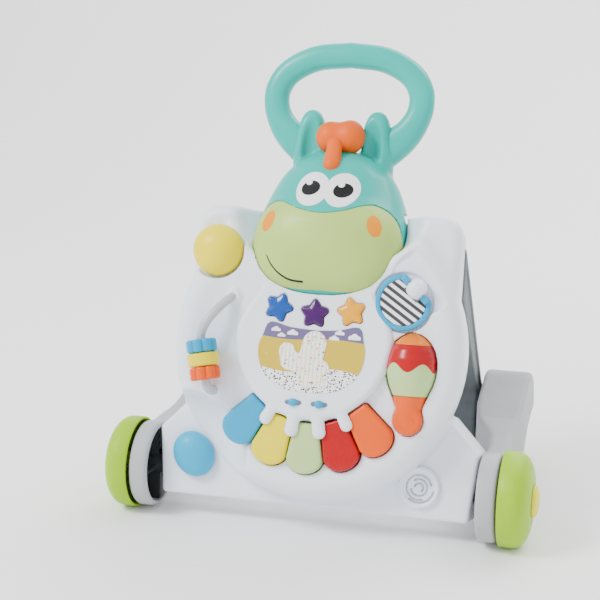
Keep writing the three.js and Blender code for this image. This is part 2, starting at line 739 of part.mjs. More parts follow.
function rearLeg() {
  const rearFace = (v) => {
    const h = BACK_H - 2 * GAP - REAR_COVER;
    return [
      FOOT_EDGE.y + v * Math.sin(LEAN) - h * Math.cos(LEAN),
      FOOT_EDGE.z + v * Math.cos(LEAN) + h * Math.sin(LEAN),
    ];
  };
  const lowerFront = [HUB.y - 12.6, HUB.z + 13];
  const lowerBack = [HUB.y + 19, HUB.z + 18];
  const outline = [rearFace(219), lowerFront, lowerBack, rearFace(270)];
  const shape = new THREE.Shape(outline.map((p) => new THREE.Vector2(...p)));
  const hub = sideways(circle(HUB.y, HUB.z, HUB.r + GAP, 28), 90, 150);
  const hollow = sideways(shape, LEG.inner + WALL, LEG.outer - WALL).translate([0, 5, 3]);
  return sideways(shape, LEG.inner, LEG.outer, 1.5).subtract(hollow).subtract(hub);
}

function legHub() {
  const side = circle(HUB.y, HUB.z, HUB.r, 24);
  const recess = sideways(circle(HUB.y, HUB.z, HUB.r - 6, 16), LEG.inner - 5, LEG.inner + 14);
  return sideways(side, LEG.inner, ARM.rearInner - GAP, 2).subtract(recess);
}

function crossbar() {
  const section = new THREE.Shape([[-15, -7], [15, -7], [15, 7], [-15, 7]]
    .map((p) => new THREE.Vector2(...p).rotateAround(new THREE.Vector2(), -LEG.slope)
      .add(new THREE.Vector2(CROSSBAR.y, CROSSBAR.z))));
  return sideways(section, GAP - LEG.inner, LEG.inner - GAP);
}

// A front wheel about the x axis: a dished lime dome with a hub tube, open on its inner side.
function frontWheel() {
  const { r, inner, outer, bore } = WHEEL;
  const edge = inner + 9;
  const hubR = 17;
  const dome = (rim, top) => arc(0, 0, 1, 0, 90, 4)
    .map(({ x, y }) => [hubR + (rim - hubR) * x, edge + (top - edge) * y]);
  const outside = dome(r, outer);
  const inside = dome(r - WALL, outer - WALL).filter(([radius]) => radius > hubR + 1);
  const profile = [
    [bore, inner], [9, inner], [9, outer - WALL - 1], ...inside.reverse(), [r - WALL, inner],
    [r, inner], ...outside, [bore, outer], [bore, inner],
  ];
  return solid(alongX(turned(profile, 32)));
}

function frontAxle() {
  return solid(alongX(rod(AXLE_R, AXLE_IN, WHEEL.outer - 1)));
}

function rearAxle() {
  return solid(alongX(rod(REAR_AXLE_R, ARM.rearInner + 4, ARM.outer - 4)));
}

function hubCap() {
  const { outer } = WHEEL;
  const profile = [
    [0, outer + GAP], [16, outer + GAP], [16, outer + 2],
    [12, outer + 4.6], [6, outer + 6], [0, outer + 6],
  ];
  return solid(alongX(turned(profile, 20)));
}

function rearWheel() {
  const { r, inner, outer } = REAR_WHEEL;
  const bore = REAR_AXLE_R + GAP;
  const profile = [
    [bore, inner], [10, inner], [12, inner + 5], [r - 6, inner + 5], [r - 3, inner], [r, inner],
    [r, outer - 1.5], [r - 1.5, outer], [bore, outer], [bore, inner],
  ];
  return solid(alongX(turned(profile, 28)));
}

// ---- Assembly -----------------------------------------------------------------------------------
const walker = new THREE.Group();
walker.position.y = -DEPTH_CENTRE;

const panel = new THREE.Group();
panel.position.set(0, FOOT_EDGE.y, FOOT_EDGE.z);
panel.rotation.x = Math.PI / 2 - LEAN;
walker.add(panel);

const WHITE = 0xebf0f8;
const TEAL = 0x22dccb;
const GRAY = 0xbfc2c4;
const STEEL = 0xb4b8bc;
const ORANGE = 0xfc731c;
const LIME = 0xafdc14;

panel.add(
  part('front_shell', frontShell(), WHITE),
  part('rear_shell', rearShell(), WHITE),
  part('bib_panel', bibPanel(), WHITE),
  part('battery_door', batteryDoor(), WHITE),
  part('battery_screw', batteryScrew(), STEEL, 0.3, 1),
  part('battery_1', battery(131), 0x30363c),
  part('battery_2', battery(147), 0x30363c),
  part('circuit_board', box([-64, 64], [60, 190], [7, 8.6]), 0x1f6b3a),
  part('key_membrane', solid(slab(keySector(106, 118, 52), 11, 13.4)), 0x3c3f44),
  part('speaker_driver', speakerDriver(), 0x26282b),
  part('speaker_grille', speakerGrille(), WHITE),
  part('spinner', spinner(), 0xffe600),
  part('blue_button', pushButton(), 0x00c8f0),
  part('bead_rail', beadRail(), 0xc9ccd0),
  part('maraca_bulb', maracaBall(), 0xd2101e),
  part('maraca_cap', maracaCap(), 0xff9a20),
  part('maraca_handle', maracaHandle(), ORANGE),
  part('maraca_pin', maracaPin(), STEEL, 0.3, 1),
  part('head_shell', headShell(), TEAL),
  part('head_back', headBack(), TEAL),
  part('muzzle', muzzle(), 0xc6dfa0),
  part('forelock', forelock(), 0xff7d1e),
  part('handle', handle(), TEAL),
);
for (const name of ['speaker_driver', 'speaker_grille']) {
  panel.getObjectByName(name).position.set(SPEAKER.u, SPEAKER.v, 0);
}
panel.getObjectByName('spinner').position.set(SPINNER.u, SPINNER.v, SPINNER.h);
panel.getObjectByName('blue_button').position.set(BUTTON.u, BUTTON.v, GAP);

KEY_NAMES.forEach((name, i) => {
  const piece = part(name, key(), KEY_COLOURS[i]);
  piece.position.y = KEYS.v;
  piece.rotation.z = degrees(KEYS.pitch * (i - 2));
  panel.add(piece);
});

BEAD_LOOKS.forEach(({ name, lobes, colour }, i) => {
  const piece = part(name, bead(lobes), colour);
  piece.position.copy(railPoint(BEAD.pitch * (i - 1)));
  piece.rotation.z = BEAD_RAIL.lean;
  panel.add(piece);
});

const bib = new THREE.Group();
bib.position.set(0, BIB.pivotV, BIB.pivotH);
bib.rotation.x = BIB.tilt;
panel.add(bib);
bib.add(part('picture_label', pictureLabel(), 0xd7c33c));
for (const { name, u, w, turn, colour } of STARS) {
  const piece = part(name, star(), colour, 0.2);
  piece.position.set(u, w, 0);
  piece.rotation.z = degrees(turn);
  bib.add(piece);
}
for (const [side, name] of [[-1, 'switch_left'], [1, 'switch_right']]) {
  const piece = part(name, slideSwitch(), 0x00b4d7);
  piece.position.set(side * SWITCH.u, SWITCH.w, 0);
  bib.add(piece);
}

const flap = new THREE.Group();
flap.position.set(FLAP.u, FLAP.v, 0);
flap.rotation.z = FLAP.turn;
panel.add(flap);
flap.add(
  part('flap_ring', flapRing(), 0x18a8d8),
  part('flap_disc', flapDisc(), 0xf4f4f4),
  part('flap_knuckle', flapKnuckle(), WHITE),
  part('flap_pin', flapPin(), STEEL, 0.3, 1),
  part('mirror_disc', mirrorDisc(), 0xd8dde0, 0.05, 1),
);

for (const [name, place] of [['right', (shape) => shape], ['left', mirrored]]) {
  const wheelAxis = [0, 0, WHEEL.r];
  const rearAxis = [0, REAR_WHEEL.y, REAR_WHEEL.r];
  walker.add(
    part(`side_arm_${name}`, place(sideArm()), GRAY),
    part(`front_axle_${name}`, place(frontAxle()).translate(wheelAxis), STEEL, 0.3, 1),
    part(`rear_leg_${name}`, place(rearLeg()), 0x96999b),
    part(`leg_hub_${name}`, place(legHub()), 0x0f7f9c),
    part(`front_wheel_${name}`, place(frontWheel()).translate(wheelAxis), LIME),
    part(`hub_cap_${name}`, place(hubCap()).translate(wheelAxis), 0xf2dc1e),
    part(`rear_wheel_${name}`, place(rearWheel()).translate(rearAxis), LIME),
    part(`rear_axle_${name}`, place(rearAxle()).translate(rearAxis), STEEL, 0.3, 1),
  );
}
walker.add(part('rear_crossbar', crossbar(), 0x96999b));

export default walker;
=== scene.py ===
"""Looks of a baby walker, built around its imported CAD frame.

Shapes are drawn in millimetres in the CAD's own local frames, as signed distance fields that are
meshed on a grid, or as turned and swept bodies, and then placed in the row's frame in metres.
"""
import json
import math

import bmesh
import bpy
import numpy as np
from mathutils import Matrix, Vector


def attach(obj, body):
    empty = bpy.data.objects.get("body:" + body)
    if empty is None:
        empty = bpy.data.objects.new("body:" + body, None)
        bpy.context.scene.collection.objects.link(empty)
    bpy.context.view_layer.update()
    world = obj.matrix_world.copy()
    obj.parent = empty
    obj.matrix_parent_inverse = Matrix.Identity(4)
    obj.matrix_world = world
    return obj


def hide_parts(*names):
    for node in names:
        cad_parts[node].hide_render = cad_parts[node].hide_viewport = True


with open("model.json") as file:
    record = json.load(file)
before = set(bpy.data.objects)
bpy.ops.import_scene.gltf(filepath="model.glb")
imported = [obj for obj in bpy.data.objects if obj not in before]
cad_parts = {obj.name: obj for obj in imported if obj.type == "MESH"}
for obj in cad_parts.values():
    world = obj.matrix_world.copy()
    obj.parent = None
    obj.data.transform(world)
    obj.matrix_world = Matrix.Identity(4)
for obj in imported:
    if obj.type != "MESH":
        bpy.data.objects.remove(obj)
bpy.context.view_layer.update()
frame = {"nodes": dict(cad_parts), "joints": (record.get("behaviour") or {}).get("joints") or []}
JOINTS = {joint["name"]: joint for joint in frame["joints"]}

# ---- Driving dimensions, in millimetres ------------------------------------------------------------
MM = 0.001
LEAN = 15  # degrees that the panel leans back
FOOT_EDGE = (-21, 23.5)  # y and z of the panel's lower front edge, from the front axle
BACK_H = -40  # rear rim of the front shell
COVER_H = -43.6  # outer face of the back cover
BATTERY_V = 141
WALL = 3
SHOULDER_H = 16
DISC = {"v": 160, "r": 147, "h": 34}
BODY = {"half": 136, "top": 297, "corner": 22}
KEYS = {"v": 163, "pitch": 19.2, "inner": 76, "outer": 125.5, "low": 28, "high": 42}
WELL_H = 22
BIB = {"v": 90, "h": 48, "tilt": -6}
STARS = {"star_blue": (-36.5, 108, -20), "star_purple": (0, 104, 0), "star_yellow": (36.5, 108, 13)}
STAR_R = 14
SWITCH = {"u": 13, "w": 16.5, "half_slot": 8, "half_width": 2.3}
SPINNER = (-106, 250, 24)
BUTTON = (-125, 43, 0)
SPEAKER = (108, 32, 0)
BEAD = {"r": 15.5, "half": 6.5, "pitch": 13.5, "bore": 5.3}
RAIL = {"u": -104.5, "v": 141, "h": 55, "lean": 12, "tube": 4.5, "low": -23.5, "high": 38}
RAIL_TOP_POST = (-84, 206)
FLAP = {"u": 86, "v": 210, "turn": 47, "r": 27, "hinge": 17, "low": 33.2, "high": 37.2}
FLAP_SEAT_H = 30
HINGE_H = 40
MARACA = {"u": 98, "h": 30, "bottom": 112, "neck": 121.5, "top": 182, "r": 24.2}
MARACA_CAP_V = 170
GRIP = {"u": 98.5, "v": 98, "r": 14.2}  # the round pad of the maraca's fixed handle
HANDLE_H = -37
WHEEL = {"r": 46.5, "inner": 187.4, "outer": 217}
REAR_WHEEL = {"y": 203, "r": 40, "inner": 151, "outer": 173}
ARM = {"inner": 166, "outer": 187, "lobe": 43.7, "rear_inner": 137}
LEG = {"inner": 104, "outer": 136.4}
HUB = {"y": 210, "z": 66, "r": 26}
CROSSBAR = {"y": 145, "z": 178, "slope": 50.4, "half": 103.7}

# ---- Places: local frames, from millimetres to the row's metres ------------------------------------
AXLE_BACK = -JOINTS["front_wheel_right_spin"]["pos_m"][1] / MM
WALKER = Matrix.Scale(MM, 4) @ Matrix.Translation((0, -AXLE_BACK, 0))
PANEL = WALKER @ Matrix.Translation((0, *FOOT_EDGE)) @ Matrix.Rotation(math.radians(90 - LEAN), 4, "X")


def on_panel(u, v, h=0, turn=0):
    return PANEL @ Matrix.Translation((u, v, h)) @ Matrix.Rotation(math.radians(turn), 4, "Z")


BIB_PLACE = on_panel(0, BIB["v"], BIB["h"]) @ Matrix.Rotation(math.radians(BIB["tilt"]), 4, "X")
FLAP_PLACE = on_panel(FLAP["u"], FLAP["v"], 0, FLAP["turn"])


# ---- Distance fields -------------------------------------------------------------------------------
def length(*parts):
    return np.sqrt(sum(part * part for part in parts))


def fuse(a, b, blend=0.0):
    """Union of two fields, filleted by about blend."""
    if not blend:
        return np.minimum(a, b)
    near = np.maximum(blend - np.abs(a - b), 0) / blend
    return np.minimum(a, b) - near * near * blend / 4


def overlap(a, b, blend=0.0):
    return -fuse(-a, -b, blend)


def carve(a, b, blend=0.0):
    """Field a with b cut out of it, its new edges rounded by about blend."""
    return -fuse(-a, b, blend)


def polygon(x, y, points):
    """Exact distance to a closed outline, negative inside."""
    best, inside = np.inf, False
    for (ax, ay), (bx, by) in zip(points, points[1:] + points[:1]):
        ex, ey = bx - ax, by - ay
        wx, wy = x - ax, y - ay
        t = np.clip((wx * ex + wy * ey) / (ex * ex + ey * ey), 0, 1)
        best = np.minimum(best, (wx - ex * t) ** 2 + (wy - ey * t) ** 2)
        crosses = (ay > y) != (by > y)
        slope = ex / ey if ey else 0
        inside = inside ^ (crosses & (x < ax + slope * (y - ay)))
    return np.where(inside, -1, 1) * np.sqrt(best)


def plate(flat, z, low, high, rounding):
    """A flat field given thickness from low to high, with every edge rounded."""
    side = flat + rounding
    face = np.abs(z - (low + high) / 2) - ((high - low) / 2 - rounding)
    return np.minimum(np.maximum(side, face), 0) + length(np.maximum(side, 0), np.maximum(face, 0)) - rounding


def egg(x, y, z, centre, radii, power=2.0):
    """An ellipsoid, or with a power over 2 a squarer one; near its surface this is the distance."""
    parts = [np.abs(p - c) / r for p, c, r in zip((x, y, z), centre, radii)]
    total = sum(part**power for part in parts) + 1e-12
    size = total ** (1 / power)
    steepness = sum((part ** (power - 1) / r) ** 2 for part, r in zip(parts, radii))
    slope = size ** (1 - power) * np.sqrt(steepness)
    return (size - 1) / np.maximum(slope, 1e-6)


def rod_field(x, y, z, a, b, ra, rb=None):
    """A round-ended rod from a to b, its radius going from ra to rb."""
    rb = ra if rb is None else rb
    ab = [q - p for p, q in zip(a, b)]
    t = sum((w - p) * d for w, p, d in zip((x, y, z), a, ab)) / sum(d * d for d in ab)
    t = np.clip(t, 0, 1)
    return length(*[w - p - d * t for w, p, d in zip((x, y, z), a, ab)]) - (ra + (rb - ra) * t)


def turn_about(x, y, degrees):
    """Coordinates in a frame that is turned by this angle."""
    c, s = math.cos(math.radians(degrees)), math.sin(math.radians(degrees))
    return x * c + y * s, y * c - x * s


def mesh_field(field, low, high, cell):
    """Meshes a field's surface with quads on a grid, and moves each vertex onto the surface."""
    axes = [np.arange(a, b + cell, cell) for a, b in zip(low, high)]
    sizes = [len(axis) for axis in axes]
    value = np.broadcast_to(field(*np.ix_(*axes)), sizes)
    inside = value < 0
    stride = np.array([sizes[1] * sizes[2], sizes[2], 1])
    quads, points = [], []
    for axis in range(3):
        near = tuple(slice(None, -1) if k == axis else slice(None) for k in range(3))
        far = tuple(slice(1, None) if k == axis else slice(None) for k in range(3))
        crossing = inside[near] != inside[far]
        before, after = value[near][crossing], value[far][crossing]
        index = np.argwhere(crossing)
        place = index.astype(float)
        place[:, axis] += before / (before - after)
        p, q = stride[(axis + 1) % 3], stride[(axis + 2) % 3]
        around = (index @ stride)[:, None] - np.array([0, p, p + q, q])
        around[before > 0] = around[before > 0][:, ::-1]
        quads.append(around)
        points.append(np.repeat(place, 4, axis=0))
    quads, points = np.concatenate(quads), np.concatenate(points)
    used, back = np.unique(quads, return_inverse=True)
    back = back.ravel()
    count = np.bincount(back, minlength=len(used))
    verts = np.stack([np.bincount(back, weights=points[:, k]) / count for k in range(3)], 1)
    verts = np.array(low) + verts * cell
    step = cell * 0.2
    for _ in range(2):
        here = field(*verts.T)
        slope = np.stack(
            [
                field(*(verts + side * step).T) - field(*(verts - side * step).T)
                for side in np.eye(3)
            ],
            1,
        ) / (2 * step)
        move = slope * (here / np.maximum((slope**2).sum(1), 0.2))[:, None]
        reach = np.maximum(np.linalg.norm(move, axis=1), 1e-9)
        verts -= move * np.minimum(1, 0.4 * cell / reach)[:, None]
    return verts, back.reshape(-1, 4)


# ---- Turned, swept and laid-on bodies --------------------------------------------------------------
def soften(points, reach, steps=5):
    """A profile whose inner corners are rounded; reach is how far each round goes along its sides."""
    points = [Vector(p) for p in points]
    result = [points[0]]
    for before, corner, after in zip(points, points[1:], points[2:]):
        cut = min(reach, (corner - before).length * 0.48, (after - corner).length * 0.48)
        start = corner + (before - corner).normalized() * cut
        end = corner + (after - corner).normalized() * cut
        for i in range(steps + 1):
            t = i / steps
            result.append(start * (1 - t) ** 2 + corner * 2 * t * (1 - t) + end * t**2)
    return [tuple(p) for p in result + [points[-1]]]


def lathe(profile, segments=96, closed=False):
    """A body turned about the local z axis; profile points are (radius, z), from its foot to its top."""
    angles = np.linspace(0, 2 * math.pi, segments, endpoint=False)
    verts, rows = [], []
    for r, z in profile:
        start = len(verts)
        if r < 1e-6:
            verts.append((0, 0, z))
            rows.append([start] * segments)
        else:
            verts.extend((r * math.cos(a), r * math.sin(a), z) for a in angles)
            rows.append(list(range(start, start + segments)))
    faces = []
    for low, high in zip(rows, rows[1:] + (rows[:1] if closed else [])):
        for i in range(segments):
            j = (i + 1) % segments
            face = list(dict.fromkeys((low[i], low[j], high[j], high[i])))
            if len(face) > 2:
                faces.append(face)
    return np.array(verts), faces


def sweep(points, radius, sides=40):
    """A tube along points; radius(t) gives its two half widths, t going from 0 to 1."""
    points = [Vector(p) for p in points]
    side = Vector((0, 0, 1))
    verts, faces = [], []
    for i, point in enumerate(points):
        along = (points[min(i + 1, len(points) - 1)] - points[max(i - 1, 0)]).normalized()
        side = (side - along * side.dot(along)).normalized()
        across = along.cross(side)
        wide, deep = radius(i / (len(points) - 1))
        for k in range(sides):
            a = 2 * math.pi * k / sides
            verts.append(tuple(point + across * (wide * math.cos(a)) + side * (deep * math.sin(a))))
    for i in range(len(points) - 1):
        for k in range(sides):
            j = (k + 1) % sides
            faces.append((i * sides + k, i * sides + j, (i + 1) * sides + j, (i + 1) * sides + k))
    for start in (0, len(points) - 1):
        centre = len(verts)
        verts.append(tuple(points[start]))
        faces.extend((centre, start * sides + k, start * sides + (k + 1) % sides) for k in range(sides))
    return np.array(verts), faces


def spline(points, steps=12):
    """A smooth line through points (Catmull-Rom)."""
    points = [Vector(p) for p in points]
    padded = [points[0] * 2 - points[1], *points, points[-1] * 2 - points[-2]]
    result = []
    for a, b, c, d in zip(padded, padded[1:], padded[2:], padded[3:]):
        for i in range(steps):
            t = i / steps
            square, cube = 2 * a - 5 * b + 4 * c - d, 3 * b - a - 3 * c + d
            result.append(0.5 * (2 * b + (c - a) * t + square * t**2 + cube * t**3))
    return result + [points[-1]]


def drop_onto(field, x, y, top, bottom):
    """Heights at which vertical lines through (x, y) first meet a field's surface, from above."""
    x, y = np.asarray(x, float), np.asarray(y, float)
    z = np.full(x.shape, float(top))
    for _ in range(90):
        z = np.maximum(z - np.maximum(field(x, y, z), 0) * 0.6, bottom)
    return z


def laid_on(field, outline, centre, top, bottom, lift=0.25, depth=0.5, rings=9):
    """A thin printed patch that follows a field's surface inside an outline."""
    outline, centre = np.array(outline, float), np.array(centre, float)
    count = len(outline)
    flat = np.concatenate([[centre]] + [centre + (outline - centre) * k / rings for k in range(1, rings + 1)])
    z = drop_onto(field, flat[:, 0], flat[:, 1], top, bottom)
    upper = np.column_stack([flat, z + lift])
    lower = np.column_stack([flat[-count:], z[-count:] - depth])
    verts = np.concatenate([upper, lower, [[*centre, z[0] - depth]]])
    faces = [(0, 1 + k, 1 + (k + 1) % count) for k in range(count)]
    for row in range(rings):
        a = 1 + row * count
        b = a + count
        faces.extend((a + k, b + k, b + (k + 1) % count, a + (k + 1) % count) for k in range(count))
    last = 1 + rings * count
    faces.extend((last + k, last + count, last + (k + 1) % count) for k in range(count))
    return verts, faces


def ellipse(centre, radii, tilt=0, count=64):
    angles = np.linspace(0, 2 * math.pi, count, endpoint=False)
    x, y = turn_about(radii[0] * np.cos(angles), radii[1] * np.sin(angles), -tilt)
    return np.column_stack([centre[0] + x, centre[1] + y])


# ---- Pieces ----------------------------------------------------------------------------------------
def make(name, mesh_data, place, material, body="frame", stands_for=()):
    """Adds a piece in the row's frame, riding on a body."""
    verts, faces = mesh_data
    mesh = bpy.data.meshes.new(name)
    mesh.from_pydata(np.asarray(verts).tolist(), [], [list(map(int, face)) for face in faces])
    mesh.transform(place)
    work = bmesh.new()
    work.from_mesh(mesh)
    bmesh.ops.remove_doubles(work, verts=work.verts, dist=1e-6)
    bmesh.ops.recalc_face_normals(work, faces=work.faces)
    work.to_mesh(mesh)
    work.free()
    mesh.polygons.foreach_set("use_smooth", [True] * len(mesh.polygons))
    mesh.set_sharp_from_angle(angle=math.radians(50))
    mesh.materials.append(material)
    piece = bpy.data.objects.new(name, mesh)
    bpy.context.scene.collection.objects.link(piece)
    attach(piece, body)
    if stands_for:
        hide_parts(*stands_for)
    # Blender adds a number to a material whose name the CAD frame already has.
    return piece


def paint(node, material):
    """Gives a CAD node that keeps its own shape a material."""
    mesh = frame["nodes"][node].data
    mesh.materials.clear()
    mesh.materials.append(material)


# ---- Materials -------------------------------------------------------------------------------------
class Nodes:
    """Short calls for building a material's nodes."""

    def __init__(self, name):
        self.material = bpy.data.materials.new(name)
        self.material.use_nodes = True
        self.tree = self.material.node_tree
        self.shader = self.tree.nodes["Principled BSDF"]
        self.coordinates = self.tree.nodes.new("ShaderNodeTexCoord").outputs["Object"]

    def link(self, output, socket):
        self.tree.links.new(output, socket)

    def set(self, socket, value):
        if isinstance(value, bpy.types.NodeSocket):
            self.link(value, socket)
        else:
            socket.default_value = value

    def math(self, operation, a, b=0.0, c=0.0):
        node = self.tree.nodes.new("ShaderNodeMath")
        node.operation = operation
        for socket, value in zip(node.inputs, (a, b, c)):
            self.set(socket, value)
        return node.outputs[0]

    def noise(self, scale, detail=2.0, coordinates=None):
        node = self.tree.nodes.new("ShaderNodeTexNoise")
        node.inputs["Scale"].default_value = scale
        node.inputs["Detail"].default_value = detail
        self.link(coordinates or self.coordinates, node.inputs["Vector"])
        return node.outputs["Fac"]

    def ramp(self, value, low, high, from_min=0.3, from_max=0.7):
        node = self.tree.nodes.new("ShaderNodeMapRange")
        for socket, number in zip(node.inputs[1:5], (from_min, from_max, low, high)):
            socket.default_value = number
        self.link(value, node.inputs[0])
        return node.outputs[0]

    def cells(self, x, y, stretch, scale, randomness):
        """Flat Voronoi cells: the distance from a cell's middle, and each cell's own colour."""
        join = self.tree.nodes.new("ShaderNodeCombineXYZ")
        self.link(x, join.inputs[0])
        self.link(y, join.inputs[1])
        spread = self.tree.nodes.new("ShaderNodeVectorMath")
        spread.operation = "MULTIPLY"
        spread.inputs[1].default_value = stretch
        self.link(join.outputs[0], spread.inputs[0])
        node = self.tree.nodes.new("ShaderNodeTexVoronoi")
        node.inputs["Scale"].default_value = scale
        node.inputs["Randomness"].default_value = randomness
        self.link(spread.outputs[0], node.inputs["Vector"])
        return node.outputs["Distance"], node.outputs["Color"]

    def mix(self, factor, a, b):
        node = self.tree.nodes.new("ShaderNodeMix")
        node.data_type = "RGBA"
        self.set(node.inputs["Factor"], factor)
        for socket, value in zip(node.inputs[6:8], (a, b)):
            self.set(socket, value if isinstance(value, bpy.types.NodeSocket) else (*value, 1))
        return node.outputs[2]

    def local(self, place):
        """Millimetre coordinates in a local frame, as x, y and z outputs."""
        inverse = place.inverted()
        axes = []
        for row in range(3):
            dot = self.tree.nodes.new("ShaderNodeVectorMath")
            dot.operation = "DOT_PRODUCT"
            self.link(self.coordinates, dot.inputs[0])
            dot.inputs[1].default_value = inverse[row][:3]
            axes.append(self.math("ADD", dot.outputs["Value"], inverse[row][3]))
        return axes

    def bump(self, height, strength, distance):
        node = self.tree.nodes.new("ShaderNodeBump")
        node.inputs["Strength"].default_value = strength
        node.inputs["Distance"].default_value = distance
        self.link(height, node.inputs["Height"])
        self.link(node.outputs["Normal"], self.shader.inputs["Normal"])


def srgb(*colour):
    """A colour of 0 to 255 screen values as the linear values that a shader takes."""
    return tuple((c / 255 / 12.92) if c <= 10 else ((c / 255 + 0.055) / 1.055) ** 2.4 for c in colour)


def plastic(name, colour, rough=0.32, coat=0.25, depth=0.0, grain=0.35, shade=0.9, shine=0.25):
    """Moulded plastic: faint colour drift, uneven gloss and a fine skin."""
    build = Nodes(name)
    drift = build.ramp(build.noise(22, 3), 0, 1)
    base = srgb(*colour)
    build.link(build.mix(drift, base, tuple(c * shade for c in base)), build.shader.inputs["Base Color"])
    build.link(build.ramp(build.noise(140, 4), rough - 0.05, rough + 0.07), build.shader.inputs["Roughness"])
    build.bump(build.noise(2600, 2), grain * 0.12, 0.0002)
    build.shader.inputs["Coat Weight"].default_value = coat
    build.shader.inputs["Coat Roughness"].default_value = 0.12
    build.shader.inputs["Specular IOR Level"].default_value = shine
    build.shader.inputs["Subsurface Weight"].default_value = depth
    build.shader.inputs["Subsurface Radius"].default_value = (0.004, 0.004, 0.004)
    return build.material


def steel():
    build = Nodes("steel")
    build.shader.inputs["Base Color"].default_value = (0.55, 0.56, 0.58, 1)
    build.shader.inputs["Metallic"].default_value = 1
    build.link(build.ramp(build.noise(300, 4), 0.25, 0.4), build.shader.inputs["Roughness"])
    return build.material


# The white leans a little blue: a painted bluish cast standing in for the tint of its shaded sides.
WHITE = plastic("white_plastic", (234, 240, 250), 0.38, 0.1, 0.04, 0.5, 0.965, 0.4)
TEAL = plastic("teal_plastic", (0, 178, 166), 0.32, 0.1)
MUZZLE_GREEN = plastic("muzzle_green", (176, 204, 104), 0.42, 0.05)
FORELOCK = plastic("forelock_orange", (232, 96, 0), 0.5, 0.0)
PRINT_WHITE = plastic("print_white", (248, 248, 250), 0.4, 0.05)
PRINT_BLACK = plastic("print_black", (14, 16, 18), 0.35, 0.05)
PRINT_AMBER = plastic("print_amber", (232, 142, 0), 0.5, 0.0)
CYAN = plastic("cyan_plastic", (0, 156, 204), 0.34, 0.05)
DOME_CYAN = plastic("dome_cyan", (0, 168, 212), 0.42, 0.05)
YELLOW = plastic("yellow_plastic", (238, 218, 0), 0.36, 0.05)
PALE_GREEN = plastic("pale_green_plastic", (184, 212, 140), 0.34, 0.08)
RED = plastic("red_plastic", (176, 0, 10), 0.26, 0.15)
ORANGE = plastic("orange_plastic", (234, 88, 0), 0.34, 0.05)
AMBER = plastic("amber_plastic", (236, 124, 8), 0.26, 0.15)
GOLD = plastic("gold_plastic", (230, 158, 0), 0.16, 0.3)
BLUE = plastic("blue_plastic", (0, 74, 158), 0.16, 0.3)
PURPLE = plastic("purple_plastic", (62, 2, 84), 0.16, 0.3)
LIME = plastic("lime_plastic", (152, 196, 0), 0.45, 0.0)
CAP_YELLOW = plastic("cap_yellow", (232, 218, 20), 0.42, 0.05)
GRAY = plastic("gray_plastic", (172, 174, 176), 0.5, 0.0)
DARK_GRAY = plastic("dark_gray_plastic", (104, 110, 112), 0.55, 0.0)
RAIL_GRAY = plastic("rail_plastic", (186, 190, 196), 0.3, 0.2)
HUB_BLUE = plastic("hub_blue", (0, 84, 108), 0.45, 0.05)
# Near-black: the real rubber of the inner membrane and driver, and painted shade for the hollow inside the
# arms' front lobes.
BLACK_RUBBER_AND_SHADE = plastic("black_rubber_and_painted_shade", (40, 43, 46), 0.6, 0.0)
CIRCUIT = plastic("circuit_green", (26, 96, 52), 0.4, 0.2)
WRAP = plastic("battery_wrap", (44, 48, 54), 0.3, 0.2)
STEEL = steel()


# ---- Panel shells ----------------------------------------------------------------------------------
def arc(x, y, r, start, end, count):
    return [
        (x + r * math.cos(math.radians(a)), y + r * math.sin(math.radians(a)))
        for a in np.linspace(start, end, count + 1)
    ]


def body_outline():
    half, top, corner = BODY["half"], BODY["top"], BODY["corner"]
    meet = math.degrees(math.acos(half / DISC["r"]))
    return [
        *arc(0, DISC["v"], DISC["r"], 180 - meet, 360 + meet, 44),
        *arc(half - corner, top - corner, corner, 0, 90, 8),
        *arc(corner - half, top - corner, corner, 90, 180, 8),
    ]


BODY_EDGE = body_outline()
DRAFT = 0.16  # how much the body's side walls close in towards the back


def foot_flat(u, v):
    corner = 5
    right = [(159 - corner, corner), (165 - corner, 66), (137 - corner, 95), (60, 120)]
    left = [(-a, b) for a, b in reversed(right)]
    return polygon(u, v, right + left) - corner


def key_flat(x, y):
    """A key's outline about its own centre line, hanging down from the keys' centre."""
    side = math.tan(math.radians(KEYS["pitch"] / 2))
    inner, outer = KEYS["inner"], KEYS["outer"]
    rounding, end = 2.2, 15
    near = inner * side - 0.6 - rounding
    far = (outer - end) * side - 0.6 - rounding
    tip = [
        (-far * math.cos(a), end - outer - (end - rounding) * math.sin(a))
        for a in np.linspace(0, math.pi, 17)
    ]
    return polygon(x, y, [(-near, -inner - rounding), *tip, (near, -inner - rounding)]) - rounding


def key_bank_flat(u, v):
    """The outlines of all five keys together."""
    x, y = u, v - KEYS["v"]
    index = np.clip(np.round(np.degrees(np.arctan2(x, -y)) / KEYS["pitch"]), -2, 2)
    turn = np.radians(index * KEYS["pitch"])
    c, s = np.cos(turn), np.sin(turn)
    return key_flat(x * c + y * s, y * c - x * s)


def maraca_radius(t):
    """The maraca's radius at a share t of its length, from its bottom to its crown."""
    return MARACA["r"] * np.interp(
        t, [0, 0.06, 0.14, 0.28, 0.4, 0.52, 0.64, 0.76, 0.86, 0.93, 0.98, 1],
        [0.48, 0.56, 0.7, 0.88, 0.97, 1, 0.98, 0.88, 0.7, 0.49, 0.25, 0])


def maraca_field(u, v, h, grow):
    t = np.clip((v - MARACA["bottom"]) / (MARACA["top"] - MARACA["bottom"]), 0, 1)
    beyond = np.maximum(MARACA["bottom"] - v, v - MARACA["top"])
    across = length(u - MARACA["u"], h - MARACA["h"])
    side = (across - maraca_radius(t)) * 0.85
    return np.where(beyond > 0, length(beyond, np.maximum(side, 0)), side) - grow


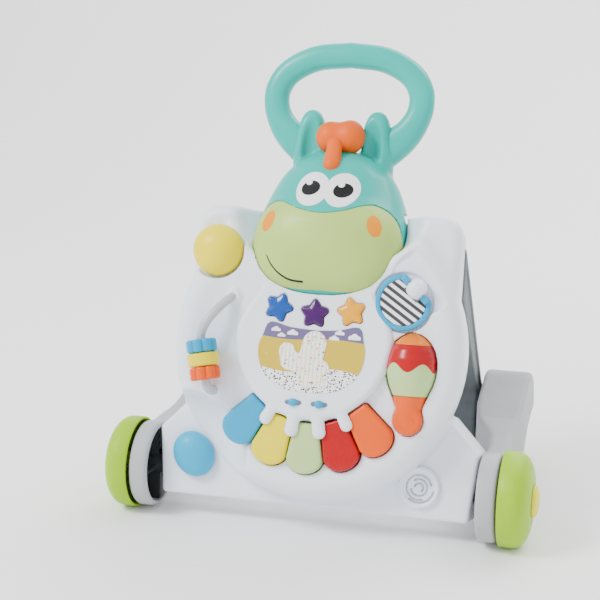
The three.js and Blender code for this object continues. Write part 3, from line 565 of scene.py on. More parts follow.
def panel_outside(u, v, h):
    low = BACK_H - 60
    across = length(u, v - DISC["v"])
    body_flat = polygon(u, v, BODY_EDGE) + DRAFT * np.maximum(-h, 0)
    shoulders = plate(body_flat, h, low, SHOULDER_H, 12)
    disc = overlap(plate(across - DISC["r"], h, low, DISC["h"], 30), body_flat, 3)
    rim = length(across - 130, h - 21) - 14.5
    raised = fuse(disc, rim, 9)
    body = fuse(raised, shoulders, 16)
    foot_edge = foot_flat(u, v)
    foot = plate(foot_edge, h, low, 0, 5)
    return overlap(fuse(body, foot, 4), fuse(body_flat, foot_edge, 4), 3)


def front_shell_field(u, v, h):
    skin = panel_outside(u, v, h)
    well = plate(key_bank_flat(u, v) - 1.1, h, WELL_H, 80, 0.5)
    spinner_seat = plate(length(u - SPINNER[0], v - SPINNER[1]) - 28.5, h, SPINNER[2] - 1, 80, 1)
    landing = plate(length(u - 104, v - 231) - 31, h, DISC["h"] - 1.2, 80, 1)
    flap_seat = plate(length(u - FLAP["u"], v - FLAP["v"]) - FLAP["r"] - 2, h, FLAP_SEAT_H, 80, 2)
    dish = egg(u, v, h, (BUTTON[0], BUTTON[1], 40), (66, 66, 42))
    skin = carve(skin, well, 1.6)
    bowl = egg(u, v, h, (0, 296, 32), (100, 60, 62))
    grip = fuse(length(u - GRIP["u"], v - GRIP["v"]) - GRIP["r"] - 1.3, polygon(u, v, GRIP_NECK) - 1, 3)
    skin = carve(carve(skin, bowl, 8), plate(grip, h, DISC["h"] - 2, 80, 1), 1)
    skin = carve(skin, head_all_field(u, v, h) - 1.1, 0.8)
    for cut in (spinner_seat, landing, flap_seat, maraca_field(u, v, h, 1.3)):
        skin = carve(skin, cut, 2)
    skin = carve(skin, dish, 4)
    return overlap(overlap(skin, -(skin + WALL), 0.6), BACK_H - h, 0.6)


def rear_shell_field(u, v, h):
    """The back cover: a plate with a groove along its rim, the battery tray, screw holes and vents."""
    low = COVER_H
    flat = fuse(polygon(u, v, BODY_EDGE) - DRAFT * BACK_H, foot_flat(u, v), 4)
    cover = plate(flat, h, low, BACK_H - 0.3, 1.4)
    cover = carve(cover, plate(np.abs(flat + 12) - 1, h, low - 5, low + 1.2, 0.4), 0.6)
    tray = plate(np.maximum(np.abs(u) - 40, np.abs(v - BATTERY_V) - 23), h, low - 5, -22, 0.6)
    box = plate(np.maximum(np.abs(u) - 42, np.abs(v - BATTERY_V) - 25), h, BACK_H - 1, -20, 1)
    cover = carve(fuse(cover, box, 1), tray, 0.6)
    for side in (-1, 1):
        for place_v in (22, 110, 200, 280):
            screw = plate(length(u - side * 112, v - place_v) - 4.2, h, low - 5, low + 2.2, 0.5)
            cover = carve(cover, screw, 0.8)
    for rib in range(5):
        vent = np.maximum(np.abs(u) - 46, np.abs(v - 212 - 9 * rib) - 1.3)
        cover = carve(cover, plate(vent, h, low - 5, low + 1.3, 0.5), 0.6)
    return cover


def battery_door_field(u, v, h):
    """The battery door, with three grip grooves and its screw's hole."""
    low = COVER_H
    door = plate(np.maximum(np.abs(u) - 39.7, np.abs(v - BATTERY_V) - 22.7), h, low, low + 2.4, 0.7)
    grooves = [np.maximum(np.abs(u) - 9, np.abs(v - 124 - 3.4 * k) - 0.8) for k in range(3)]
    door = carve(door, plate(np.minimum.reduce(grooves), h, low - 3, low + 0.8, 0.3), 0.4)
    return carve(door, plate(length(u, v - 159) - 3.4, h, low - 3, low + 5, 0.3), 0.4)


def panel_pieces():
    make("panel_front_shell", mesh_field(front_shell_field, (-172, -6, -43), (172, 303, 42), 1.35),
         PANEL, WHITE, stands_for=["front_shell"])
    make("panel_back_cover", mesh_field(rear_shell_field, (-170, -6, -46), (170, 303, -17), 1.2),
         PANEL, WHITE, stands_for=["rear_shell"])
    make("battery_cover", mesh_field(battery_door_field, (-42, 116, -46), (42, 166, -39), 0.6),
         PANEL, WHITE, stands_for=["battery_door"])


# ---- Bib, keys and buttons -------------------------------------------------------------------------
def flat_spline(points, steps=12):
    return [(p.x, p.y) for p in spline([(x, y, 0) for x, y in points], steps)]


def star_flat(x, y, r, turn, rounding=2.0):
    x, y = turn_about(x, y, turn)
    points = [
        (radius * math.sin(-math.radians(36 * i)), radius * math.cos(math.radians(36 * i)))
        for i, radius in enumerate([r - rounding, (r - rounding) * 0.56] * 5)
    ]
    return polygon(x, y, points) - rounding


def bib_skin(x, y, z):
    """The bib's whole outside in its own frame: a crowned shield with four teeth."""
    flat = polygon(x, y, BIB_EDGE)
    shield = plate(flat, z, -30, 0, 7)
    centre_y, _ = bib_from_panel(KEYS["v"], KEYS["high"])
    for index in (-1.5, -0.5, 0.5, 1.5):
        a = math.radians(index * KEYS["pitch"])
        tip = (84 * math.sin(a), centre_y - 84 * math.cos(a), -8.6)
        root = (70 * math.sin(a), centre_y - 70 * math.cos(a), -8.6)
        shield = fuse(shield, rod_field(x, y, z, root, tip, 7.6, 7.4), 3)
    return shield


def bib_from_panel(v, h):
    """A point of the panel's middle plane in the bib's frame."""
    tilt = math.radians(BIB["tilt"])
    dv, dh = v - BIB["v"], h - BIB["h"]
    return dv * math.cos(tilt) + dh * math.sin(tilt), dh * math.cos(tilt) - dv * math.sin(tilt)


def bib_field(x, y, z):
    body = bib_skin(x, y, z)
    tilt = math.radians(BIB["tilt"])
    v = BIB["v"] + y * math.cos(tilt) - z * math.sin(tilt)
    h = BIB["h"] + y * math.sin(tilt) + z * math.cos(tilt)
    for u0, w0, turn in STARS.values():
        pocket = plate(star_flat(x - u0, y - w0, STAR_R + 0.7, turn, 3.2), z, -7, 30, 0.5)
        body = carve(body, pocket, 1.2)
    for side in (-1, 1):
        slot = np.maximum(np.abs(x - side * SWITCH["u"]) - SWITCH["half_slot"] + 2, 0)
        slot = length(slot, y - SWITCH["w"]) - SWITCH["half_width"]
        body = carve(body, plate(slot, z, -6, 30, 0.3), 0.8)
    over_keys = plate(key_bank_flat(x, v) - 1.6, h, -60, KEYS["high"] + 1.1, 0.4)
    body = carve(body, over_keys, 0.6)
    body = carve(body, face_field(x, v, h) - 0.9, 0.8)
    return overlap(body, DISC["h"] - 3 - h, 0.3)


BIB_EDGE = flat_spline(
    [(0, 0.5), (26, 4.5), (50, 18), (69, 41), (78, 66), (79, 88), (70, 108), (61, 124), (57, 138)], 6)
BIB_EDGE = BIB_EDGE + [(-a, b) for a, b in reversed(BIB_EDGE[1:])]


def key_field(x, y, z):
    flat = key_flat(x, y)
    crown = 0.9 * (1 - np.clip((flat + 9) / 9, 0, 1) ** 2)
    body = plate(flat, z - crown + 0.9, KEYS["low"], KEYS["high"], 2.6)
    hollow = plate(flat + 2.4, z, KEYS["low"] - 20, KEYS["high"] - 2.6, 0.8)
    stem = plate(length(x, y + 112) - 3.6, z, 17, KEYS["high"] - 1.5, 0.5)
    return fuse(carve(body, hollow, 0.5), stem, 1)


def star_field(x, y, z):
    flat = star_flat(x, y, STAR_R, 0, 2.8)
    dome = 1.7 * (1 - np.clip((flat + 8) / 8, 0, 1) ** 2)
    return plate(flat, z - dome, -5.5, 2.2, 1.6)


def switch_field(x, y, z):
    knob = egg(x, y, z, (0, 0, 1.2), (4.3, 3.8, 3.2), 2.4)
    stem = plate(np.maximum(np.abs(x) - 2, np.abs(y) - 1.8), z, -4.5, 1, 0.3)
    strip = plate(np.maximum(np.abs(x) - 11, np.abs(y) - 3.2), z, -8.6, -6.4, 0.3)
    rod_down = plate(np.maximum(np.abs(x) - 2, np.abs(y) - 1.8), z, -7.5, -3, 0.3)
    return fuse(fuse(fuse(knob, stem, 0.5), rod_down, 0.3), strip, 0.3)


def bib_pieces():
    make("bib_shield", mesh_field(bib_field, (-84, -26, -30), (84, 146, 4), 0.85),
         BIB_PLACE, WHITE, stands_for=["bib_panel"])
    colours = {"star_blue": BLUE, "star_purple": PURPLE, "star_yellow": GOLD}
    star = mesh_field(star_field, (-15, -15, -7), (15, 15, 6), 0.4)
    for name, (u, w, turn) in STARS.items():
        place = BIB_PLACE @ Matrix.Translation((u, w, 0)) @ Matrix.Rotation(math.radians(turn), 4, "Z")
        make(name + "_button", star, place, colours[name], name, stands_for=[name])
    switch = mesh_field(switch_field, (-12, -5, -10), (12, 5, 6), 0.4)
    for name, side in (("switch_left", -1), ("switch_right", 1)):
        place = BIB_PLACE @ Matrix.Translation((side * SWITCH["u"], SWITCH["w"], 0))
        make(name + "_knob", switch, place, CYAN, name, stands_for=[name])


def key_pieces():
    colours = {"key_cyan": CYAN, "key_yellow": YELLOW, "key_pale_green": PALE_GREEN, "key_red": RED,
               "key_orange": ORANGE}
    key = mesh_field(key_field, (-24, -128, 15), (24, -73, 45), 0.6)
    for i, (name, colour) in enumerate(colours.items()):
        place = on_panel(0, KEYS["v"], 0, KEYS["pitch"] * (i - 2))
        make(name + "_cap", key, place, colour, name, stands_for=[name])


# ---- Toys on the panel -----------------------------------------------------------------------------
def dome_profile(r, base, rise, skirt):
    curve = [(r * math.cos(a), base + rise * math.sin(a)) for a in np.linspace(0, math.pi / 2, 22)]
    foot = [(0, skirt), (r - 2, skirt), (r - 0.6, skirt + 0.5), (r, base - 0.6)]
    return foot + curve[:-1] + [(0, base + rise)]


def toy_pieces():
    make("spinner_dome", lathe(dome_profile(26, 3.5, 20.5, 0.2)), on_panel(*SPINNER), YELLOW,
         "spinner", stands_for=["spinner"])
    oval = on_panel(*BUTTON, -52) @ Matrix.Diagonal((1.06, 0.92, 1, 1))
    make("blue_dome", lathe(dome_profile(22.5, 4, 13, 0.6)), oval, DOME_CYAN,
         "blue_button", ["blue_button"])
    grille = mesh_field(grille_field, (-23, -23, -1), (23, 23, 6), 0.5)
    make("speaker_cover", grille, on_panel(*SPEAKER), WHITE, stands_for=["speaker_grille"])
    rail_pieces()
    maraca_pieces()
    flap_pieces()


def grille_field(x, y, z):
    across = length(x, y)
    body = plate(across - 20.5, z, 0.1, 3.4, 1.2)
    body = fuse(body, length(across - 17.9, z - 3.0) - 2.4, 1.0)
    angle = np.degrees(np.arctan2(y, x))
    for r, start, reach in ((4.2, 60, 120), (8.2, -20, 150), (12.2, 150, 140), (14.8, -70, 60)):
        off = np.abs((angle - start + 180) % 360 - 180) - reach
        gap = np.maximum(np.abs(across - r) - 1.0, off * r / 57.3)
        body = carve(body, plate(gap, z, -1, 9, 0.2), 0.5)
    return body


def rail_line():
    lean = math.radians(RAIL["lean"])
    along = Vector((-math.sin(lean), math.cos(lean), 0))
    middle = Vector((RAIL["u"], RAIL["v"], RAIL["h"]))
    low, high = middle + along * RAIL["low"], middle + along * RAIL["high"]
    low_post = middle + along * (RAIL["low"] - 7) + Vector((1, 0, 0))
    top_u, top_v = RAIL_TOP_POST
    start = [(low_post.x, low_post.y, 26), (low_post.x, low_post.y, RAIL["h"] - 9)]
    bend = [tuple(low_post.lerp(low, 0.35) - Vector((0, 0, 2.4))), tuple(low)]
    run = [tuple(low.lerp(high, t)) for t in (0.25, 0.5, 0.73)]
    fall = ((-1.0, -1.0, 0.98), (-0.74, -0.66, 0.84), (-0.38, -0.32, 0.54), (-0.08, -0.08, 0.12))
    over = [(top_u + 22.5 * x, top_v + 32.5 * y, 36 + 19 * z) for x, y, z in fall]
    return start + bend + run + over + [(top_u, top_v, 24)], along, middle


def collar_field(x, y, z):
    return fuse(plate(length(x, y) - 9.5, z, -6, 2.5, 2.2), plate(length(x, y) - 6.3, z, -6, 5.5, 2), 3)


def bead_field(lobes):
    def field(x, y, z):
        across = length(x, z)
        angle = np.arctan2(z, x)
        groove = 2.6 * (1 - np.abs(np.cos(lobes * angle / 2)) ** 0.7) if lobes else 0
        flat = (across - BEAD["r"] + groove) * 0.8
        body = plate(flat, y, -BEAD["half"], BEAD["half"], 2.6)
        return carve(body, plate(across - BEAD["bore"], y, -20, 20, 0.1), 1.2)

    return field


def rail_pieces():
    points, along, middle = rail_line()
    make("bead_rail_bar", sweep(spline(points, 8), lambda t: (RAIL["tube"], RAIL["tube"])), PANEL,
         RAIL_GRAY, stands_for=["bead_rail"])
    collar = mesh_field(collar_field, (-12, -12, -8), (12, 12, 8), 0.6)
    for number, (u, v, _), sunk in ((1, points[0], 0.5), (2, points[-1], 1.5)):
        make(f"rail_collar_{number}", collar, on_panel(u, v, DISC["h"] - sunk), WHITE)
    looks = (("bead_orange", 8, ORANGE), ("bead_yellow", 0, YELLOW), ("bead_blue", 8, CYAN))
    for i, (name, lobes, material) in enumerate(looks):
        spot = middle + along * (BEAD["pitch"] * (i - 1))
        data = mesh_field(bead_field(lobes), (-17, -8, -17), (17, 8, 17), 0.5)
        make(name + "_ring", data, on_panel(*spot, RAIL["lean"]), material, name, stands_for=[name])


def maraca_bulb_mesh(segments=96):
    """The bulb from its neck to its cap, and which faces are above its wavy colour line."""
    low, high = MARACA["neck"], MARACA_CAP_V
    line = 0.56
    rows = np.concatenate([np.linspace(0, line, 22), np.linspace(line, 1, 26)[1:]])
    verts, faces, upper = [], [], []
    for t in rows:
        for k in range(segments):
            a = 2 * math.pi * k / segments
            fade = 1 - abs(t - line) / (line if t < line else 1 - line)
            wave = -0.085 * math.cos(5 * (a - math.pi / 2)) * fade
            v = low + (high - low) * (t + wave)
            share = (v - MARACA["bottom"]) / (MARACA["top"] - MARACA["bottom"])
            r = float(maraca_radius(share))
            verts.append((MARACA["u"] + r * math.cos(a), v, MARACA["h"] + r * math.sin(a)))
    for row in range(len(rows) - 1):
        for k in range(segments):
            below, above = row * segments, (row + 1) * segments
            j = (k + 1) % segments
            faces.append((below + k, below + j, above + j, above + k))
            upper.append(rows[row] >= line - 1e-9)
    for start, v, is_upper in ((0, low, False), ((len(rows) - 1) * segments, high, True)):
        centre = len(verts)
        verts.append((MARACA["u"], v, MARACA["h"]))
        faces.extend((centre, start + k, start + (k + 1) % segments) for k in range(segments))
        upper.extend([is_upper] * segments)
    return np.array(verts), faces, upper


GRIP_NECK = [(86, 96), (88, 106), (81.5, 121.2), (114.5, 121.2), (109, 106), (111, 96)]


def maraca_handle_field(u, v, h):
    """The fixed grip: a collar that narrows from the bulb, and a rounded pad with a raised arc."""
    upper, lower = (MARACA["u"], 121, MARACA["h"]), (MARACA["u"], 100, MARACA["h"] + 3)
    collar = rod_field(u, v, h, upper, lower, 16.6, 10.5)
    pad = plate(length(u - GRIP["u"], v - GRIP["v"]) - GRIP["r"], h, 26, DISC["h"] + 8.5, 4)
    arch = length(length(u - GRIP["u"], v - 95.5) - 6.2, h - DISC["h"] - 8.3) - 0.9
    arch = np.maximum(arch, 97 - v)
    body = overlap(fuse(collar, pad, 3), v - 121.2, 0.8)
    return overlap(fuse(body, arch, 1), 28 - h, 0.5)


def maraca_pieces():
    verts, faces, upper = maraca_bulb_mesh()
    bulb = make("maraca_shaker", (verts, faces), PANEL, PALE_GREEN, "maraca", ["maraca_bulb"])
    bulb.data.materials.append(RED)
    bulb.data.polygons.foreach_set("material_index", [int(red) for red in upper])
    top = MARACA["top"]
    span = top - MARACA["bottom"]
    steps = np.linspace(MARACA_CAP_V + 0.3, top, 24)
    profile = [(0, steps[0])] + [(float(maraca_radius((v - MARACA["bottom"]) / span)), v) for v in steps]
    profile[-1] = (0, top)
    cap_place = on_panel(MARACA["u"], 0, MARACA["h"]) @ Matrix.Rotation(-math.pi / 2, 4, "X")
    make("maraca_crown", lathe(profile), cap_place, AMBER, "maraca", stands_for=["maraca_cap"])
    make("maraca_grip", mesh_field(maraca_handle_field, (79, 82, 25), (117, 124, 50), 0.6), PANEL, ORANGE,
         stands_for=["maraca_handle"])


def flap_ring_field(x, y, z):
    """The flap's ring, cut open at its hinge between two ears that hold the pin."""
    ring = plate(np.abs(length(x, y) - 24.8) - 2.4, z, FLAP["low"], FLAP["high"], 1.6)
    ear_flat = np.maximum(np.abs(x - FLAP["hinge"]) - 2.9, np.abs(np.abs(y) - 13.2) - 4.2)
    body = fuse(ring, plate(ear_flat, z, FLAP["low"] + 1, 42.6, 1.8), 1)
    body = carve(body, np.maximum(FLAP["hinge"] - 8.2 - x, np.abs(y) - 9), 0.6)
    body = overlap(body, x - 20.4, 0.8)
    return carve(body, length(x - FLAP["hinge"], z - HINGE_H) - 1.9, 0)


def flap_disc_field(x, y, z):
    disc = plate(length(x, y) - 22.2, z, FLAP["low"] + 0.9, FLAP["high"] - 0.9, 0.8)
    disc = carve(disc, np.maximum(FLAP["hinge"] - 8.2 - x, np.abs(y) - 9), 0.4)
    return carve(disc, FLAP["hinge"] - 3.4 - x, 0.3)


def knuckle_field(x, y, z):
    lobe = egg(x, y, z, (FLAP["hinge"] + 2, 0, 38.5), (9.8, 8.7, 10.8), 2.5)
    foot = np.maximum(np.abs(x - FLAP["hinge"]) - 4.5, np.abs(y) - 8)
    return fuse(lobe, plate(foot, z, FLAP_SEAT_H, 40, 1), 2)


def stripes():
    """Woven cloth with uneven dark stripes across it."""
    build = Nodes("flap_print")
    x, y, _ = build.local(FLAP_PLACE)
    across = build.math("ADD", build.math("MULTIPLY", x, 0.985), build.math("MULTIPLY", y, 0.17))
    phase = build.math("FRACT", build.math("MULTIPLY", build.math("ADD", across, 100), 0.15))
    band = build.ramp(build.math("ABSOLUTE", build.math("SUBTRACT", phase, 0.5)), 1, 0, 0.235, 0.275)
    weave = build.math("MULTIPLY", build.math("SINE", build.math("MULTIPLY", x, 9.0)),
                       build.math("SINE", build.math("MULTIPLY", y, 9.0)))
    build.link(build.mix(band, srgb(246, 246, 248), srgb(52, 52, 58)), build.shader.inputs["Base Color"])
    build.bump(weave, 0.3, 0.0003)
    build.shader.inputs["Roughness"].default_value = 0.75
    return build.material


def flap_pieces():
    make("flap_frame", mesh_field(flap_ring_field, (-29, -29, 31), (24, 29, 45), 0.5), FLAP_PLACE, CYAN,
         "flap", stands_for=["flap_ring"])
    make("flap_cloth", mesh_field(flap_disc_field, (-24, -24, 32), (16, 24, 39), 0.5), FLAP_PLACE, stripes(),
         "flap", stands_for=["flap_disc"])
    make("flap_hinge_cover", mesh_field(knuckle_field, (7, -11, 25), (31, 11, 51), 0.5), FLAP_PLACE, WHITE,
         stands_for=["flap_knuckle"])


# ---- Picture label ---------------------------------------------------------------------------------
def label_material():
    """A printed scene: clouded sky, dotted ground and a speckled base."""
    build = Nodes("printed_label")
    x, y, _ = build.local(BIB_PLACE)
    base_distance, _ = build.cells(x, y, (1, 1.25, 1), 0.4, 0.85)
    base_dots = build.ramp(base_distance, 1, 0, 0.36, 0.44)
    spot_distance, spot_colour = build.cells(x, y, (1, 1.2, 1), 0.17, 0.85)
    spots = build.ramp(spot_distance, 1, 0, 0.12, 0.17)
    sky, ground = srgb(96, 84, 128), srgb(200, 172, 30)
    speckled = build.mix(base_dots, srgb(248, 248, 248), srgb(40, 42, 48))
    dotted = build.mix(spots, ground, spot_colour)
    hill = build.math("MULTIPLY", build.math("SINE", build.math("MULTIPLY", x, 0.07)), 1.4)
    horizon = build.ramp(build.math("SUBTRACT", y, hill), 0, 1, 78.4, 78.8)
    beach = build.ramp(build.math("ADD", y, build.math("MULTIPLY", hill, -2.0)), 0, 1, 48.2, 48.6)
    lower = build.mix(beach, speckled, dotted)
    build.link(build.mix(horizon, lower, sky), build.shader.inputs["Base Color"])
    build.link(build.ramp(build.noise(200, 2), 0.3, 0.4), build.shader.inputs["Roughness"])
    return build.material


def label_outline():
    right = flat_spline([(4, 87.5), (25, 89.2), (45.5, 93), (51, 80), (53.5, 68), (51, 53), (44, 41),
                         (30, 31.5), (14, 27.5), (0, 27)], 8)
    left = flat_spline([(0, 27), (-14, 27.5), (-30, 31.5), (-44, 41), (-51, 53), (-53.5, 68), (-50, 80),
                        (-43.5, 93), (-22, 89.2), (4, 87.5)], 8)
    return right + left[1:-1]


def cloud_outline(x, y, size):
    lobes = [(-1.1, 0, 0.75), (0, 0.35, 1.0), (1.15, 0, 0.7)]
    angles = np.linspace(0, 2 * math.pi, 60, endpoint=False)
    points = []
    for a in angles:
        reach = max(
            cx * math.cos(a) + cy * math.sin(a)
            + math.sqrt(max(r * r - (cx * math.sin(a) - cy * math.cos(a)) ** 2, 0)) for cx, cy, r in lobes)
        px, py = reach * math.cos(a), max(reach * math.sin(a), -0.45)
        points.append((x + px * size, y + py * size))
    return points


def plant_stems():
    """A plain rounded plant: each stem's two ends and its half width."""
    return [((-2, 40), (1, 62), 9.5), ((1, 62), (3, 75), 12), ((-24, 66), (-21, 56), 8),
            ((-20, 57), (0, 51), 9), ((4, 45), (13, 52), 6.5), ((3, 40), (14.5, 37), 5.5)]


def plant_field(x, y, z):
    stems = [rod_field(x, y, 0, (*a, 0), (*b, 0), r) for a, b, r in plant_stems()]
    flat = stems[0]
    for stem in stems[1:]:
        flat = fuse(flat, stem, 3)
    return plate(flat, z, 0.4, 1.75, 0.4)


def plant_material():
    build = Nodes("plant_print")
    x, y, _ = build.local(BIB_PLACE)
    repeat = build.math("FRACT", build.math("MULTIPLY", build.math("ADD", x, 200), 0.24))
    lines = build.math("ABSOLUTE", build.math("SUBTRACT", repeat, 0.5))
    stripe = build.ramp(lines, 0, 0.8, 0.36, 0.42)
    distance, colour = build.cells(x, y, (0.24, 0.3, 1), 1, 0.5)
    mark = build.ramp(distance, 0.95, 0, 0.26, 0.32)
    paper = build.mix(stripe, srgb(250, 249, 246), srgb(206, 186, 150))
    build.link(build.mix(mark, paper, colour), build.shader.inputs["Base Color"])
    build.shader.inputs["Roughness"].default_value = 0.4
    return build.material


def label_pieces():
    def level(_x, _y, z):
        return z

    patch = laid_on(level, label_outline(), (0, 62), 5, -5, lift=0.75, depth=-0.1, rings=10)
    make("label_print", patch, BIB_PLACE, label_material(), stands_for=["picture_label"])
    clouds = ((-37, 85.5, 2.6), (-20, 83, 3), (-31, 80.2, 2.2),
              (22, 80.5, 2.7), (27, 86, 2.6), (42, 82.5, 3.4))
    for i, (x, y, size) in enumerate(clouds):
        patch = laid_on(level, cloud_outline(x, y, size), (x, y), 5, -5, lift=1.0, depth=-0.6, rings=2)
        make(f"label_cloud_{i + 1}", patch, BIB_PLACE, PRINT_WHITE)
    make("label_plant", mesh_field(plant_field, (-36, 18, -1), (38, 98, 4), 0.5), BIB_PLACE, plant_material())


# ---- Head and handle -------------------------------------------------------------------------------
MUZZLE_EDGE = flat_spline([(0, 291), (8, 291.5), (23, 294.4), (37, 299.4), (47.5, 301.8), (57.6, 298.7),
                           (65.3, 293), (71, 285), (75, 274), (78, 262)], 8)


def face_field(u, v, h):
    crown = egg(u, v, h, (0, 290, -22), (70, 70, 52))
    cheeks = egg(u, v, h, (1, 266, -6), (74.5, 50, 46), 2.4)
    snout = egg(u, v, h, (1.5, 258, 16), (73, 50, 36), 2.3)
    return fuse(fuse(crown, cheeks, 20), snout, 12)


def muzzle_region(u, v, h):
    """Where the muzzle's moulding is: inside its top edge, and just clear of the panel below it."""
    edge = MUZZLE_EDGE + [(90, 250), (90, 180)]
    whole = [(-a, b) for a, b in reversed(edge[1:])] + edge
    clear = 10 + 28 * np.clip((1 - (u / 74) ** 2), 0, 1) ** 0.8
    return np.maximum(polygon(u, v, whole), np.where(v < 262, clear, 10) - h)


def muzzle_field(u, v, h):
    body = overlap(face_field(u, v, h) - 0.35, muzzle_region(u, v, h), 0.9)
    body = overlap(body, -(face_field(u, v, h) + WALL), 0.3)
    return overlap(body, 8 - h, 0.3)


def ear_field(u, v, h):
    side = np.abs(u)
    lobe = egg(side, v, h, (34, 364, -30), (15, 37, 13.5), 2.4)
    collar = rod_field(side, v, h, (38, 322, -34), (38, 356, -34), 14, 13)
    ear = fuse(lobe, collar, 10)
    pocket = egg(side, v, h, (31, 363, -14), (10.5, 30, 10.5), 2)
    return carve(ear, pocket, 5)


def head_all_field(u, v, h):
    return fuse(face_field(u, v, h), ear_field(u, v, h), 5)


def head_field(u, v, h):
    body = head_all_field(u, v, h)
    body = carve(body, overlap(muzzle_region(u, v, h) - 0.5, -(face_field(u, v, h) + 1.4)), 0.5)
    body = overlap(body, -(face_field(u, v, h) + WALL + 2), 0.3)
    body = overlap(body, np.minimum(297.4 - v, -8 - h), 0)
    return overlap(body, -44 - h, 0.4)


def head_back_field(u, v, h):
    body = overlap(head_all_field(u, v, h), -(face_field(u, v, h) + WALL), 0.3)
    body = overlap(body, 297.4 - v, 0.5)
    return overlap(body, h + 44.3, 0.4)


def forelock_field(u, v, h):
    left = egg(u, v, h, (-9.5, 371.5, -13), (15, 16, 16))
    right = egg(u, v, h, (10.5, 372.5, -13), (14.8, 17, 16))
    drop = rod_field(u, v, h, (-1.5, 362, 0), (-0.5, 341.5, 11), 7.6, 8.6)
    return fuse(fuse(left, right, 9), drop, 1.4)


def eyes_outline():
    centres, radii = ((-13.6, 315.2), (16.3, 315.2)), (17.2, 17.8)
    middle = (1.4, 315.2)
    points = []
    for a in np.linspace(0, 2 * math.pi, 120, endpoint=False):
        reach = 0
        for cx, cy in centres:
            dx, dy = (middle[0] - cx) / radii[0], (middle[1] - cy) / radii[1]
            ex, ey = math.cos(a) / radii[0], math.sin(a) / radii[1]
            qa, qb, qc = ex * ex + ey * ey, dx * ex + dy * ey, dx * dx + dy * dy - 1
            reach = max(reach, (-qb + math.sqrt(max(qb * qb - qa * qc, 0))) / qa)
        points.append((middle[0] + reach * math.cos(a), middle[1] + reach * math.sin(a)))
    return points, middle


def face_prints():
    def printed(name, outline, centre, material, lift=0.25, rings=9):
        patch = laid_on(face_field, outline, centre, 70, -60, lift=lift, rings=rings)
        make(name, patch, PANEL, material)

    outline, middle = eyes_outline()
    printed("eye_whites", outline, middle, PRINT_WHITE, 0.25, 14)
    for side, (centre, tilt) in (("left", ((-15.7, 316.3), 11)), ("right", ((17.3, 315.0), 4))):
        printed(f"pupil_{side}", ellipse(centre, (9.7, 7.6), tilt), centre, PRINT_BLACK, 0.45)
        spark = (centre[0] - 2.6, centre[1] + 5.6)
        shine = ellipse(spark, (3.2, 2.6), tilt, 32)
        printed(f"eye_spark_{side}", shine, spark, PRINT_WHITE, 0.62, 4)
    for side, sign in (("left", -1), ("right", 1)):
        centre = (53.3 * sign, 281)
        oval = ellipse(centre, (6.4, 11), 18 * sign)
        printed(f"nostril_{side}", oval, centre, PRINT_AMBER, 0.6)
    line = spline([(-51.3, 247.3, 0), (-46.8, 239.5, 0), (-39.9, 232.1, 0), (-31.5, 226.8, 0),
                   (-23.2, 224.3, 0), (-12.4, 223.6, 0)], 10)
    heights = drop_onto(muzzle_field, [p.x for p in line], [p.y for p in line], 70, 0)
    smile = [(p.x, p.y, z + 0.1) for p, z in zip(line, heights)]
    make("smile_line", sweep(smile, lambda t: (0.5 + 0.9 * t, 0.5), 16), PANEL, PRINT_BLACK)


# Half of the handle's centre line: u, v and the tube's radius there.
HANDLE_LINE = spline([(42, 362, 17.5), (54.5, 372, 16.5), (64.5, 382, 14.8), (72, 394.5, 13.4), (76, 409, 13),
                      (74.2, 425, 13), (62.5, 441.5, 13), (36, 455, 13), (0, 459, 13)], 5)


def handle_field(u, v, h):
    """The loop, whose ends flare into the sides of the ears and the collar."""
    side = np.abs(u)
    loop = np.inf
    for a, b in zip(HANDLE_LINE, HANDLE_LINE[1:]):
        loop = np.minimum(loop, rod_field(side, v, h, (a.x, a.y, HANDLE_H), (b.x, b.y, HANDLE_H), a.z, b.z))
    body = overlap(loop, np.abs(h - HANDLE_H) - 13.6, 6)
    return overlap(body, np.where(v < 405, 33 - side, -99.0), 0)


def head_pieces():
    make("head_front", mesh_field(head_field, (-80, 206, -47), (80, 406, 58), 1.1), PANEL, TEAL,
         stands_for=["head_shell"])
    make("head_rear", mesh_field(head_back_field, (-80, 294, -78), (80, 406, -42), 1.1), PANEL, TEAL,
         stands_for=["head_back"])
    make("snout", mesh_field(muzzle_field, (-81, 204, 5), (81, 307, 58), 0.9), PANEL, MUZZLE_GREEN,
         stands_for=["muzzle"])
    make("forelock_bun", mesh_field(forelock_field, (-28, 328, -31), (28, 393, 24), 0.6), PANEL, FORELOCK,
         stands_for=["forelock"])
    make("loop_handle", mesh_field(handle_field, (-92, 338, -52), (92, 474, -22), 1.1), PANEL, TEAL,
         stands_for=["handle"])
    face_prints()


# ---- Arms, legs and wheels -------------------------------------------------------------------------
def arm_field(x, y, z):
    """The right arm, in the walker's frame."""
    side = polygon(y, z, [
        *arc(0, WHEEL["r"], ARM["lobe"], 60, 300, 24), (60, 12), (120, 20), (166, 34), (198, 54), (224, 60),
        *arc(REAR_WHEEL["y"], 72, 41, -14, 112, 16), (152, 98), (120, 88), (70, 84)])
    top = polygon(x, y, [
        (ARM["inner"], -60), (ARM["outer"] - 1, -60), (ARM["outer"] - 1, 50), (ARM["outer"] - 3.5, 85),
        (ARM["outer"] - 1.5, 115), (ARM["outer"], 140), (ARM["outer"], 280), (ARM["rear_inner"], 280),
        (ARM["rear_inner"], 150), (141, 122), (152, 100), (161, 78), (ARM["inner"], 50)])
    bone = overlap(side, top, 6)
    across = length(y, z - WHEEL["r"])
    drum = np.maximum(across - 38.5, x - 182.5)
    bone = carve(bone, drum, 1.5)
    clear = length(y - REAR_WHEEL["y"], z - REAR_WHEEL["r"]) - REAR_WHEEL["r"] - 4
    rear_well = np.maximum(clear, np.abs(x - (REAR_WHEEL["inner"] + REAR_WHEEL["outer"]) / 2) - 15)
    return carve(bone, rear_well, 1)


